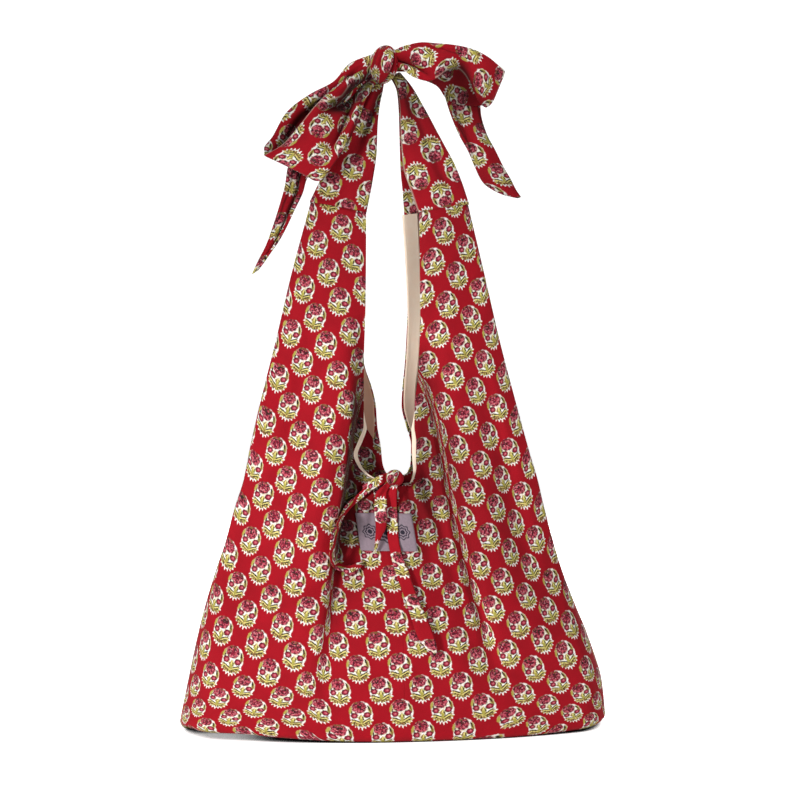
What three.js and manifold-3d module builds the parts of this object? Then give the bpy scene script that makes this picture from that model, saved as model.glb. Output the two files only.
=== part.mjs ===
import * as THREE from 'three';
import Module from 'manifold-3d';
import { mergeVertices } from 'three/addons/utils/BufferGeometryUtils.js';

// Shoulder tote bag of printed cotton with straps tied in a bow.
// Millimetres, X to the right, Y to the back, Z up, origin under the middle of the base.

const wasm = await Module();
wasm.setup();

const fitGap = 0.3;           // between two pieces that touch
const panelThick = 1.6;       // cloth of the body, with its turned seam allowances
const strapThick = 1.5;       // doubled cloth of straps, loops and tails
const ribbonThick = 1.2;      // cloth of the small tie at the mouth
const facingThick = 1.0;      // plain strip sewn inside the rims
const facingWidth = 13.5;
const facingGap = 0.45;       // behind the panel's inner face
const labelThick = 0.8;
const hemRadius = 8;          // round under edge between wall and base
const baseHalfWidth = 201;
const baseHalfDepth = 80;
const centreX = 1;            // where the left and right halves of a panel meet
const armTop = 480;           // height of the inner end of the seam between arm and strap
const armSlant = 10;          // how much higher that seam is at the outer edge
const slantStart = 420;       // below this height the rows of an arm are level

const print = { color: 0xb3142a, roughness: 0.86, metalness: 0 };
const plain = { color: 0xd9bda2, roughness: 0.9, metalness: 0 };
const tag = { color: 0x9c97a8, roughness: 0.8, metalness: 0 };

// Body outline by height: outer edges in x, then depths forward of the side seam.
// corner is the depth of the rounded side, reach its extent in x, middle and centre
// are further depth half way to the centre line and at it.
const outline = smoothTable(
  ['z', 'left', 'right', 'corner', 'reach', 'middle', 'centre'],
  [
    [0, -201, 201, 46, 30, 26, 34],
    [40, -193, 197, 44, 28, 27, 36],
    [83, -184, 184, 36, 24, 29, 39],
    [115, -176, 171, 24, 17, 31, 40],
    [145, -167, 160, 9, 8, 33, 40],
    [175, -157, 151, 3, 3, 33, 35],
    [205, -149, 143, 3, 3, 29, 22],
    [230, -141, 137, 3, 3, 23, 10],
    [260, -135, 128, 3, 3, 20, -4],
    [300, -126, 117, 3, 3, 18, 2],
    [360, -111, 101, 3, 3, 15, 3],
    [420, -97, 87, 3, 3, 12, 2],
    [491, -78, 70, 3, 3, 9, 0],
  ],
);

// Rims by height: x of the cut edges of the front and back panels.
const frontRims = smoothTable(
  ['z', 'left', 'right'],
  [
    [224, centreX, centreX],
    [228, -9, 14],
    [234, -25, 18],
    [243, -34, 20],
    [254, -38, 20],
    [266, -34, 20],
    [281, -29, 18],
    [300, -29, 18],
    [325, -29, 21],
    [390, -28, 23],
    [480, -27, 22],
  ],
);
const backRims = smoothTable(
  ['z', 'left', 'right'],
  [
    [231, centreX, centreX],
    [236, -6, 14],
    [246, -10, 17],
    [262, -12, 17],
    [281, -15, 12],
    [300, -16, 8],
    [318, -20, 9],
    [335, -26, 11],
    [362, -32, 13],
    [391, -34, 14],
    [480, -35, 11],
  ],
);

// Folds of the front panel: where each runs, its half width and how far it sinks in.
// A negative sink is a ridge.
const frontFolds = [
  smoothTable(['z', 'x', 'half', 'sink'], [
    [30, -66, 16, 0], [90, -68, 16, 5], [150, -62, 15, 10], [215, -56, 14, 13],
    [262, -50, 12, 13], [320, -42, 10, 9], [380, -40, 10, 0],
  ]),
  smoothTable(['z', 'x', 'half', 'sink'], [
    [60, -96, 24, 0], [150, -88, 22, -5], [240, -70, 16, -7], [330, -60, 14, -5],
    [400, -54, 14, 0],
  ]),
  smoothTable(['z', 'x', 'half', 'sink'], [
    [35, 94, 14, 0], [85, 84, 15, 6], [135, 73, 15, 9], [205, 58, 14, 12],
    [260, 49, 13, 12], [320, 40, 11, 9], [365, 34, 10, 0],
  ]),
  smoothTable(['z', 'x', 'half', 'sink'], [
    [60, 122, 26, 0], [130, 104, 24, -5], [220, 82, 20, -7], [300, 66, 16, -5],
    [380, 52, 14, 0],
  ]),
];

// The back hangs in two shallower folds.
const backFolds = [
  smoothTable(['z', 'x', 'half', 'sink'], [
    [40, -74, 20, 0], [120, -66, 18, 7], [230, -52, 16, 11], [330, -46, 12, 7], [400, -44, 12, 0],
  ]),
  smoothTable(['z', 'x', 'half', 'sink'], [
    [40, 78, 20, 0], [120, 68, 18, 7], [230, 50, 16, 10], [330, 40, 12, 6], [400, 38, 12, 0],
  ]),
];

// Straps from the arm seams up to the bow knot, a row for each section: outer edge, height
// and x of the open edge of the front and of the back layer, then the depths of a layer
// beyond its rounded outer edge, half way and at the open edge.
const strapColumns = ['step', 'outerX', 'outerZ', 'openZ', 'frontX', 'backX', 'middle', 'rim'];
const leftStrap = smoothTable(strapColumns, [
  [0, -78, 491, 481, -27, -35, 7.8, 8.2],
  [1, -66, 512, 509, -21, -27, 7, 6.5],
  [2, -53, 533, 537, -17, -21, 6, 5],
  [3, -40, 557, 561, -16, -18, 5, 4],
  [4, -29, 577, 580, -14, -14, 3.5, 3],
  [5, -23, 595, 594, -11, -11, 2.2, 1.8],
  [6, -18, 608, 607, -9, -9, 1.6, 1.4],
]);
const rightStrap = smoothTable(strapColumns, [
  [0, 70, 491, 481, 22, 11, 7.8, 8.2],
  [1, 64, 510, 503, 14, 9, 7, 6.5],
  [2, 57, 527, 522, 8, 7, 6, 5],
  [3, 45, 549, 547, 6, 6, 5, 4],
  [4, 28, 580, 577, 5, 5, 3.5, 3],
  [5, 16, 600, 596, 3, 3, 2.2, 1.8],
  [6, 5, 613, 609, -3, -3, 1.6, 1.4],
]);

// Bow loops and tails: a row for each section gives both edges in x and z, and the depth.
const bandColumns = ['step', 'aX', 'aZ', 'bX', 'bZ', 'y'];
const leftLoop = smoothTable(bandColumns, [
  [0, -15, 606, -13, 618, -9],
  [1, -16, 597, -25, 613, -13],
  [2, -29, 580, -43, 593, -18],
  [3, -40, 560, -62, 578, -23],
  [4, -51, 542, -83, 562, -27],
  [5, -60, 526, -101, 547, -29],
  [6, -69, 511, -117, 535, -27],
  [7, -73, 506, -121, 531, -21],
  [8, -78, 512, -119, 539, -15],
  [9, -79, 530, -108, 558, -12],
  [10, -74, 550, -95, 580, -11],
  [11, -62, 571, -79, 591, -10],
  [12, -48, 589, -59, 603, -8],
  [13, -32, 605, -38, 623, -5],
  [14, -16, 614, -18, 629, -4],
]);
const rightLoop = smoothTable(bandColumns, [
  [0, -4, 630, -4, 614, -8],
  [1, 4, 634, 5, 613, -14],
  [2, 18, 638, 18, 608, -20],
  [3, 36, 639, 38, 601, -25],
  [4, 54, 638, 54, 595, -27],
  [5, 72, 632, 70, 588, -26],
  [6, 90, 626, 84, 581, -20],
  [7, 103, 614, 95, 588, -11],
  [8, 99, 618, 86, 594, -3],
  [9, 76, 627, 66, 604, -1],
  [10, 44, 632, 38, 614, -2],
  [11, 14, 630, 12, 618, -4],
  [12, -3, 626, -3, 617, -4],
]);
const leftTail = smoothTable(bandColumns, [
  [0, -16, 610, -19, 621, 6],
  [1, -37, 586, -46, 597, 6],
  [2, -59, 546, -78, 558, 6],
  [3, -82, 510, -99, 519, 5],
  [4, -90, 488, -106, 492, 4],
  [5, -93, 473, -117, 467, 3],
  [6, -106, 453, -124, 448, 2],
  [7, -118, 433, -132, 427, 2],
  [8, -126, 421, -133, 419, 2],
]);
const rightTail = smoothTable(bandColumns, [
  [0, -3, 628, -3, 615, 6],
  [1, 22, 633, 20, 616, 8],
  [2, 48, 631, 40, 608, 9],
  [3, 74, 618, 49, 597, 9],
  [4, 85, 594, 52, 586, 8],
  [5, 90, 561, 61, 566, 5],
  [6, 95, 543, 72, 548, 2],
  [7, 105, 529, 78, 529, 0],
  [8, 112, 516, 85, 514, -1],
  [9, 120, 502, 104, 503, -2],
  [10, 124, 498, 119, 498, -2],
]);

// Small tie at the mouth: both edges of each section and how far it stands off the front.
const ribbonColumns = ['step', 'aX', 'aZ', 'bX', 'bZ', 'standA', 'standB'];
const tieEndLeft = smoothTable(ribbonColumns, [
  [0, -7, 225, -8, 229, 5, 6],
  [1, -27, 218, -29, 224, 4, 8],
  [2, -42, 209, -46, 215, 4, 10],
  [3, -52, 193, -57, 196, 4, 11],
  [4, -57, 179, -63, 181, 4, 11],
  [5, -58, 166, -64, 166, 4, 11],
  [6, -54, 157, -59, 151, 4, 10],
  [7, -45, 155, -46, 147, 4, 9],
  [8, -33, 157, -36, 150, 4, 8],
]);
const tieEndShort = smoothTable(ribbonColumns, [
  [0, -6, 229, -9, 230, 14, 15],
  [1, -12.5, 218, -21, 218, 13, 13],
  [2, -12.5, 203, -22, 203, 11, 11],
  [3, -13, 190, -21, 190, 8, 8],
  [4, -19, 178, -23, 178, 6, 8],
  [5, -22, 166, -24, 166, 5, 6],
]);
const tieEndLong = smoothTable(ribbonColumns, [
  [0, 2, 230, -5, 230, 11, 10],
  [1, 0, 218, -9.5, 218, 10, 9.5],
  [2, 0, 200, -10, 200, 5, 4],
  [3, 0, 184, -10, 184, 4, 3],
  [4, 2, 166, -8, 166, 4, 3],
  [5, 8, 149, -4, 149, 4, 3],
  [6, 14, 129, 3, 127, 5, 3],
  [7, 22, 110, 8, 110, 5, 3],
  [8, 28, 94, 13, 94, 5, 3],
  [9, 31, 80, 25, 78, 5, 4],
]);
const tieBand = smoothTable(ribbonColumns, [
  [0, -33, 232, -33, 238, 3, 3],
  [1, -22, 231, -22, 239, 4, 3],
  [2, -10, 232, -10, 240, 8, 7],
  [3, -2, 232, -2, 237, 9, 9],
]);

const bowKnot = { x: -10, y: -4, z: 619, halfX: 12.5, halfY: 13, halfZ: 18, lean: 0.25 };
const tieKnot = { x: -2, y: -27, z: 233, halfX: 8, halfY: 6.5, halfZ: 7.5, lean: 0.5 };
const label = { left: -38, right: 12, bottom: 168, top: 202, skew: 4, lift: 1.1 };

// Monotone cubic through the rows of a table: a steady curve that never swings past a row.
function smoothValue(keys, values, key) {
  const last = keys.length - 1;
  if (key <= keys[0]) return values[0];
  if (key >= keys[last]) return values[last];
  const slopes = keys.slice(1).map((k, i) => (values[i + 1] - values[i]) / (k - keys[i]));
  const tangent = (i) => {
    if (i === 0) return slopes[0];
    if (i === last) return slopes[last - 1];
    const before = slopes[i - 1];
    const after = slopes[i];
    return before * after <= 0 ? 0 : (2 * before * after) / (before + after);
  };
  const i = keys.findIndex((k, n) => n < last && key < keys[n + 1]);
  const span = keys[i + 1] - keys[i];
  const t = (key - keys[i]) / span;
  const fromStart = (1 + 2 * t) * (1 - t) ** 2 * values[i] + t * (1 - t) ** 2 * span * tangent(i);
  const fromEnd = t * t * (3 - 2 * t) * values[i + 1] - t * t * (1 - t) * span * tangent(i + 1);
  return fromStart + fromEnd;
}

function smoothTable(columns, rows) {
  const keys = rows.map((row) => row[0]);
  const lookups = { first: keys[0], last: keys[keys.length - 1] };
  columns.slice(1).forEach((name, index) => {
    const values = rows.map((row) => row[index + 1]);
    lookups[name] = (key) => smoothValue(keys, values, key);
  });
  return lookups;
}

// A sheet grown from its outer face: each point is moved inward by the thickness along the
// mean normal, and the open edges are closed. Points on a seam keep their normal level with it.
function thickSheet(points, triangles, thickness, seamPoints = new Set()) {
  const normals = points.map(() => new THREE.Vector3());
  triangles.forEach(([a, b, c]) => {
    const ab = points[b].clone().sub(points[a]);
    const ac = points[c].clone().sub(points[a]);
    const cross = ab.cross(ac);
    [a, b, c].forEach((index) => normals[index].add(cross));
  });
  normals.forEach((normal, index) => {
    if (seamPoints.has(index)) normal.y = 0;
    normal.normalize();
  });
  const inner = points.map((point, i) => point.clone().addScaledVector(normals[i], -thickness));
  const count = points.length;
  const faces = [];
  const open = new Map();
  triangles.forEach(([a, b, c]) => {
    faces.push([a, b, c], [a + count, c + count, b + count]);
    [[a, b], [b, c], [c, a]].forEach(([from, to]) => {
      const back = `${to}_${from}`;
      if (open.has(back)) open.delete(back);
      else open.set(`${from}_${to}`, [from, to]);
    });
  });
  open.forEach(([from, to]) => {
    faces.push([to, from, from + count], [to, from + count, to + count]);
  });
  return { points: points.concat(inner), faces, inner, normals };
}

function geometryOf(points, faces) {
  const geometry = new THREE.BufferGeometry();
  const positions = new Float32Array(points.flatMap((point) => [point.x, point.y, point.z]));
  geometry.setAttribute('position', new THREE.BufferAttribute(positions, 3));
  geometry.setIndex(faces.flat());
  return geometry;
}

function named(name, geometry, finish) {
  geometry.computeVertexNormals();
  const mesh = new THREE.Mesh(geometry, new THREE.MeshStandardMaterial({ ...finish, name }));
  mesh.name = name;
  return mesh;
}

// Triangles of a grid whose points have the numbers that at(row, column) gives. Where two
// corners share a point the triangle between them is left out.
function gridTriangles(rows, columns, at, flip) {
  const triangles = [];
  for (let i = 0; i < rows - 1; i += 1) {
    for (let j = 0; j < columns - 1; j += 1) {
      const corners = [at(i, j), at(i, j + 1), at(i + 1, j + 1), at(i + 1, j)];
      const pair = [[corners[0], corners[1], corners[2]], [corners[0], corners[2], corners[3]]];
      pair.forEach(([a, b, c]) => {
        if (a === b || b === c || c === a) return;
        triangles.push(flip ? [a, c, b] : [a, b, c]);
      });
    }
  }
  return triangles;
}

function foldSink(folds, x, z) {
  return folds.reduce((sum, fold) => {
    const offset = (x - fold.x(z)) / fold.half(z);
    return sum + fold.sink(z) * Math.exp(-offset * offset);
  }, 0);
}

// Distances from the outer edge of the columns of a half panel: close together round the
// side, even across the panel, and two under the facing at the rim.
const sideSteps = [0, 0.15, 0.5, 1];
const evenSteps = 8;
function columnDistances(width, reach) {
  const roundReach = Math.min(reach, width * 0.3);
  const inner = width - facingWidth;
  const side = sideSteps.map((step) => step * roundReach);
  const even = [...Array(evenSteps)].map((_, k) => {
    return roundReach + ((inner - roundReach) * (k + 1)) / evenSteps;
  });
  return [...side, ...even, width - facingWidth / 2, width];
}
const halfColumns = sideSteps.length + evenSteps + 2;

// Quarter round of a side: depth at a distance d from the outer edge.
function sideRound(depth, reach, d) {
  const left = 1 - Math.min(d / reach, 1);
  return depth * Math.sqrt(1 - left * left);
}

// Parabola from nothing at s = 0 through the middle depth to the end depth at s = 1.
function bulge(middle, end, s) {
  return 4 * middle * s * (1 - s) + end * s * (2 * s - 1);
}

// Depth of a panel in front of the side seams, at a distance d from its outer edge.
function panelDepth(z, half, d) {
  const outer = half < 0 ? outline.left(z) : outline.right(z);
  const s = d / Math.abs(outer - centreX);
  return sideRound(outline.corner(z), outline.reach(z), d)
    + bulge(outline.middle(z), outline.centre(z), s);
}

// Level rows up to where the slant of the arm seams begins, then rows that tilt into it.
function slantedHeight(z, s) {
  const rise = Math.max(0, (z - slantStart) / (armTop - slantStart));
  return z + armSlant * (1 - s) * rise * rise;
}

// Point of the outer face of a panel. face is -1 for the front and 1 for the back, half is
// -1 for the left and 1 for the right.
function panelPoint(face, half, z, column) {
  const rims = face < 0 ? frontRims : backRims;
  const folds = face < 0 ? frontFolds : backFolds;
  const outer = half < 0 ? outline.left(z) : outline.right(z);
  const rim = half < 0 ? rims.left(z) : rims.right(z);
  const width = Math.abs(outer - rim);
  const d = columnDistances(width, outline.reach(z))[column];
  const height = slantedHeight(z, d / width);
  const edge = half < 0 ? outline.left(height) : outline.right(height);
  const x = edge + (rim - edge) * (d / width);
  const fade = Math.min(1, d / 20);
  const depth = panelDepth(z, half, d) - fade * foldSink(folds, x, z);
  return new THREE.Vector3(x, face * (depth + fitGap / 2), height);
}

// Heights of the rows of a panel wall. The mouth opens above the row at the rim's lowest point.
const lowerRows = [hemRadius, 30, 54, 78, 102, 124, 145, 165, 184, 201, 214];
function upperRows(rimZ) {
  return [rimZ, rimZ + 4, 236, 246, 258, 270, 284, 300, 318, 338, 360, 384, 408, 432, 456, armTop];
}

// One panel: half of the base, the round under edge, the wall and both arms, in one sheet.
function panelSheet(face) {
  const rimZ = face < 0 ? 224 : 231;
  const heights = [...lowerRows, ...upperRows(rimZ)].filter((z, i, all) => i === 0 || z > all[i - 1]);
  const basePull = [0, 0.4, 0.8];
  const hemTurns = [0, 0.33, 0.67];
  const lowRows = basePull.length + hemTurns.length;
  const rows = lowRows + heights.length;
  const points = [];
  const ids = new Map();
  const seamPoints = new Set();
  const idAt = (half, i, j) => {
    const atBase = i < basePull.length && j === 0;
    const shared = j === halfColumns - 1 && (i < lowRows || heights[i - lowRows] <= rimZ);
    if (atBase) return `end ${half}`;
    return shared ? `middle ${i}` : `${half} ${i} ${j}`;
  };
  const pointAt = (half, i, j) => {
    if (i >= lowRows) return panelPoint(face, half, heights[i - lowRows], j);
    const wall = panelPoint(face, half, hemRadius, j);
    const turn = i < basePull.length ? 0 : (hemTurns[i - basePull.length] * Math.PI) / 2;
    const inset = hemRadius * (1 - Math.sin(turn));
    const pull = i < basePull.length && j > 0 ? basePull[i] : 1;
    const x = centreX + (wall.x - centreX) * (1 - inset / baseHalfWidth);
    const depth = (Math.abs(wall.y) - fitGap / 2) * (1 - inset / baseHalfDepth) * pull;
    return new THREE.Vector3(x, face * (depth + fitGap / 2), hemRadius * (1 - Math.cos(turn)));
  };
  const vertex = (half, i, j) => {
    const id = idAt(half, i, j);
    if (!ids.has(id)) {
      ids.set(id, points.length);
      points.push(pointAt(half, i, j));
      if (j === 0 && i >= basePull.length) seamPoints.add(ids.get(id));
    }
    return ids.get(id);
  };
  const triangles = [-1, 1].flatMap((half) => {
    const flip = half * face < 0;
    return gridTriangles(rows, halfColumns, (i, j) => vertex(half, i, j), flip);
  });
  const sheet = thickSheet(points, triangles, panelThick, seamPoints);
  return { sheet, vertex, rows, firstArm: lowRows + heights.findIndex((z) => z > rimZ) };
}

// Facing strip on the inner face of one arm's rim, from just above the mouth to the strap seam.
function facing(panel, face, half) {
  const points = [];
  const columns = [halfColumns - 3, halfColumns - 2, halfColumns - 1];
  for (let i = panel.firstArm + 1; i < panel.rows; i += 1) {
    columns.forEach((j) => {
      const id = panel.vertex(half, i, j);
      const point = panel.sheet.inner[id].clone();
      points.push(point.addScaledVector(panel.sheet.normals[id], -facingGap));
    });
  }
  const rows = points.length / columns.length;
  const at = (i, j) => i * columns.length + j;
  const triangles = gridTriangles(rows, columns.length, at, half * face < 0);
  const sheet = thickSheet(points, triangles, facingThick);
  return geometryOf(sheet.points, sheet.faces);
}

// A strap: one cloth folded round its outer edge, open towards the other strap.
const strapSteps = 14;
const strapOpenShares = [0.4, 0.6, 0.8, 1];
const strapSideRound = 3;
function strap(table, half) {
  const layer = strapOpenShares.length + sideSteps.length - 1;
  const across = 2 * layer + 1;
  const points = [];
  for (let i = 0; i < strapSteps; i += 1) {
    const step = (table.last * i) / (strapSteps - 1);
    for (let j = 0; j < across; j += 1) {
      const face = Math.sign(j - layer);
      const open = face < 0 ? table.frontX(step) : table.backX(step);
      const width = Math.abs(table.outerX(step) - open);
      const reach = Math.min(strapSideRound, width * 0.2);
      const side = sideSteps.map((share) => (share * reach) / width);
      const shares = [...side, ...strapOpenShares];
      const s = shares[Math.min(Math.abs(j - layer), shares.length - 1)];
      const x = table.outerX(step) + (open - table.outerX(step)) * s;
      const z = table.outerZ(step) + (table.openZ(step) - table.outerZ(step)) * s;
      const depth = sideRound(strapSideRound, reach, s * width)
        + bulge(table.middle(step), table.rim(step), s);
      points.push(new THREE.Vector3(x, face * (depth + fitGap / 2), z + fitGap));
    }
  }
  const at = (i, j) => i * across + j;
  const triangles = gridTriangles(strapSteps, across, at, half > 0);
  const sheet = thickSheet(points, triangles, strapThick);
  return geometryOf(sheet.points, sheet.faces);
}

// A band of cloth from edge a to edge b of each section, with soft lengthwise pleats that
// fade along it: pleat is their height at the first section and keep the share at the last.
function band(table, shape) {
  const points = [];
  for (let i = 0; i < shape.rows; i += 1) {
    const step = (table.last * i) / (shape.rows - 1);
    const share = i / (shape.rows - 1);
    const pleat = shape.pleat * (1 - (1 - shape.keep) * share);
    for (let j = 0; j < shape.columns; j += 1) {
      const s = j / (shape.columns - 1);
      const x = table.aX(step) + (table.bX(step) - table.aX(step)) * s;
      const z = table.aZ(step) + (table.bZ(step) - table.aZ(step)) * s;
      const y = table.y(step) + pleat * Math.sin(Math.PI * 2 * shape.waves * s);
      points.push(new THREE.Vector3(x, y, z));
    }
  }
  const at = (i, j) => i * shape.columns + j;
  const triangles = gridTriangles(shape.rows, shape.columns, at, shape.flip);
  return thickSheet(points, triangles, strapThick);
}

// Height of the front face of the bag at x and z, found across the columns of a half panel.
function frontY(x, z) {
  const half = x < centreX ? -1 : 1;
  const outer = half < 0 ? outline.left(z) : outline.right(z);
  const d = Math.abs(x - outer);
  const fade = Math.min(1, d / 20);
  return -(panelDepth(z, half, d) - fade * foldSink(frontFolds, x, z));
}

// A ribbon of the small tie, laid off the front face of the bag.
function ribbon(table, rows) {
  const points = [];
  const columns = 3;
  for (let i = 0; i < rows; i += 1) {
    const step = (table.last * i) / (rows - 1);
    for (let j = 0; j < columns; j += 1) {
      const s = j / (columns - 1);
      const x = table.aX(step) + (table.bX(step) - table.aX(step)) * s;
      const z = table.aZ(step) + (table.bZ(step) - table.aZ(step)) * s;
      const stand = table.standA(step) + (table.standB(step) - table.standA(step)) * s;
      points.push(new THREE.Vector3(x, frontY(x, Math.min(z, 224)) - stand - ribbonThick, z));
    }
  }
  const at = (i, j) => i * columns + j;
  return thickSheet(points, gridTriangles(rows, columns, at, false), ribbonThick);
}

// Sheet whose outer face points the wrong way is turned over.
function outward(sheet) {
  const volume = sheet.faces.reduce((sum, [a, b, c]) => {
    return sum + sheet.points[a].dot(sheet.points[b].clone().cross(sheet.points[c]));
  }, 0);
  const faces = volume > 0 ? sheet.faces : sheet.faces.map(([a, b, c]) => [a, c, b]);
  return geometryOf(sheet.points, faces);
}

// Knot: an egg of wrapped cloth with one upright pleat, leaning in the plane of the bow.
function knot(size, grow) {
  const ball = new THREE.SphereGeometry(1, 22, 14);
  const place = ball.getAttribute('position');
  const point = new THREE.Vector3();
  for (let i = 0; i < place.count; i += 1) {
    point.fromBufferAttribute(place, i);
    const pleat = 1 - 0.12 * Math.exp(-(((point.x - 0.25) / 0.16) ** 2)) * (1 - point.z * point.z);
    point.multiply(new THREE.Vector3(size.halfX + grow, (size.halfY + grow) * pleat, size.halfZ + grow));
    place.setXYZ(i, point.x, point.y, point.z);
  }
  ball.rotateY(size.lean);
  ball.translate(size.x, size.y, size.z);
  return ball;
}

function solidOf(geometry) {
  const bare = geometry.clone();
  bare.deleteAttribute('normal');
  bare.deleteAttribute('uv');
  const merged = mergeVertices(bare, 1e-4);
  return new wasm.Manifold(new wasm.Mesh({
    numProp: 3,
    vertProperties: new Float32Array(merged.getAttribute('position').array),
    triVerts: new Uint32Array(merged.index.array),
  }));
}

// The largest body that is left of a piece where the knot, with its fit gap, takes its end.
function endAtKnot(geometry, size) {
  const rest = solidOf(geometry).subtract(solidOf(knot(size, fitGap)));
  const bodies = rest.decompose().sort((a, b) => b.volume() - a.volume());
  const mesh = bodies[0].getMesh();
  const cut = new THREE.BufferGeometry();
  cut.setAttribute('position', new THREE.BufferAttribute(new Float32Array(mesh.vertProperties), 3));
  cut.setIndex(new THREE.BufferAttribute(new Uint32Array(mesh.triVerts), 1));
  return cut;
}

// Woven label sewn on the front under the tie.
function labelSheet() {
  const rows = 4;
  const columns = 6;
  const points = [];
  for (let i = 0; i < rows; i += 1) {
    for (let j = 0; j < columns; j += 1) {
      const up = i / (rows - 1);
      const x = label.left + ((label.right - label.left) * j) / (columns - 1) + label.skew * (1 - up);
      const z = label.bottom + (label.top - label.bottom) * up;
      points.push(new THREE.Vector3(x, frontY(x, z) - label.lift - labelThick, z));
    }
  }
  const at = (i, j) => i * columns + j;
  return thickSheet(points, gridTriangles(rows, columns, at, false), labelThick);
}

const front = panelSheet(-1);
const back = panelSheet(1);

const group = new THREE.Group();
group.add(
  named('front_panel', geometryOf(front.sheet.points, front.sheet.faces), print),
  named('back_panel', geometryOf(back.sheet.points, back.sheet.faces), print),
  named('facing_front_left', facing(front, -1, -1), plain),
  named('facing_front_right', facing(front, -1, 1), plain),
  named('facing_back_left', facing(back, 1, -1), plain),
  named('facing_back_right', facing(back, 1, 1), plain),
  named('strap_left', endAtKnot(strap(leftStrap, -1), bowKnot), print),
  named('strap_right', endAtKnot(strap(rightStrap, 1), bowKnot), print),
  named('bow_knot', knot(bowKnot, 0), print),
);

const bowBands = [
  ['bow_loop_left', leftLoop, { rows: 26, columns: 9, waves: 1.5, pleat: 2, keep: 0.5 }],
  ['bow_loop_right', rightLoop, { rows: 24, columns: 8, waves: 1, pleat: 1.5, keep: 0.6 }],
  ['bow_tail_left', leftTail, { rows: 16, columns: 5, waves: 0.5, pleat: 2, keep: 1 }],
  ['bow_tail_right', rightTail, { rows: 18, columns: 5, waves: 0.5, pleat: 2, keep: 1 }],
];
bowBands.forEach(([name, table, shape]) => {
  group.add(named(name, endAtKnot(outward(band(table, shape)), bowKnot), print));
});

const ties = [
  ['tie_band', tieBand, 6],
  ['tie_end_left', tieEndLeft, 18],
  ['tie_end_short', tieEndShort, 10],
  ['tie_end_long', tieEndLong, 16],
];
ties.forEach(([name, table, rows]) => {
  group.add(named(name, endAtKnot(outward(ribbon(table, rows)), tieKnot), print));
});
group.add(
  named('tie_knot', knot(tieKnot, 0), print),
  named('label', outward(labelSheet()), tag),
);

export default group;
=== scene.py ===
import math

import bmesh
import bpy
import numpy as np
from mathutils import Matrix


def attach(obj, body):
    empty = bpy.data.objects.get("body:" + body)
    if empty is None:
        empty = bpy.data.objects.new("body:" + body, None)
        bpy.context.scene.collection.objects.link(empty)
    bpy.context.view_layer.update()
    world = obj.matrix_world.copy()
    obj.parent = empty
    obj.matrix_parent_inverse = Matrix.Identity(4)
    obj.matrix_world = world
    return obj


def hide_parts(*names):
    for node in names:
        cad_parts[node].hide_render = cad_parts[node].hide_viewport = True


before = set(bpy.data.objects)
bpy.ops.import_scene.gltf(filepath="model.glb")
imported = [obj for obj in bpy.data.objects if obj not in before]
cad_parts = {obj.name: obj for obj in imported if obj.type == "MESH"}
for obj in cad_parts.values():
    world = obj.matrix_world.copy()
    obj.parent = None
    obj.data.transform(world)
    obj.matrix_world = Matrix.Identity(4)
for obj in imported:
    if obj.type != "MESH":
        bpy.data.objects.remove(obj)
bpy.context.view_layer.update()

# Shoulder tote bag of printed cotton, tied in a bow. Sizes in the dictionaries are
# millimetres in the bag's frame: x to the right, y to the back, z up from the floor.

scene = bpy.context.scene
mm = 0.001
turnFull = 2 * np.pi
sides = {-1: 'left', 1: 'right'}  # by the sign of x, as the front is seen

# The view stands a little to the left of the bag's front, level with its mouth.
view = {'distance': 1450, 'azimuth': -6.0, 'height': 305, 'seenWidth': 752, 'shiftX': 0.0075,
        'sensor': 36}


def placeCamera(v):
    # The lens is set so that seenWidth fills the picture's width at the bag's middle.
    data = bpy.data.cameras.new('view')
    data.sensor_width = v['sensor']
    data.lens = v['sensor'] * v['distance'] / v['seenWidth']
    data.shift_x = v['shiftX']
    camera = bpy.data.objects.new('view', data)
    turn = math.radians(v['azimuth'])
    camera.location = (v['distance'] * math.sin(turn) * mm, -v['distance'] * math.cos(turn) * mm,
                       v['height'] * mm)
    camera.rotation_euler = (math.pi / 2, 0, turn)
    scene.collection.objects.link(camera)
    scene.camera = camera


placeCamera(view)
print('camera placed')


# Steady curve through rows of numbers: cubic Hermite pieces whose tangent is the harmonic
# mean of the slopes on both sides, and level where the slopes turn.
def steady(keys, values):
    spans = np.diff(keys)
    slopes = np.diff(values) / spans
    before, after = slopes[:-1], slopes[1:]
    same = before * after > 0
    mean = np.where(same, 2 * before * after / np.where(same, before + after, 1), 0)
    tangents = np.concatenate([slopes[:1], mean, slopes[-1:]])

    def at(key):
        key = np.clip(key, keys[0], keys[-1])
        i = np.clip(np.searchsorted(keys, key, 'right') - 1, 0, len(spans) - 1)
        t = (key - keys[i]) / spans[i]
        fromStart = (1 + 2 * t) * (1 - t) ** 2 * values[i] + t * (1 - t) ** 2 * spans[i] * tangents[i]
        fromEnd = t * t * (3 - 2 * t) * values[i + 1] - t * t * (1 - t) * spans[i] * tangents[i + 1]
        return fromStart + fromEnd

    return at


def curves(columns, rows):
    # One steady curve for each named column, by the first column.
    rows = np.array(rows, float)
    names = columns.split()
    made = {name: steady(rows[:, 0], rows[:, i]) for i, name in enumerate(names) if i}
    made['first'], made['last'] = rows[0, 0], rows[-1, 0]
    return made


def sections(columns, rows):
    # Curves by section number, counted from 0.
    return curves('step ' + columns, [(step, *row) for step, row in enumerate(rows)])


def curveSets(columns, tables):
    return [curves(columns, rows) for rows in tables]


def smoothStep(low, high, value):
    # 0 below low, 1 above high, and 3tt - 2ttt between.
    t = np.clip((value - low) / (high - low), 0, 1)
    return t * t * (3 - 2 * t)


def gauss(offset):
    return np.exp(-offset * offset)


def between(start, end, share):
    return start + (end - start) * share


def runningSum(steps, axis):
    # What lies before each place: 0, the first step, the first two and so on.
    return np.insert(np.cumsum(steps, axis=axis), 0, 0, axis=axis)


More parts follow.
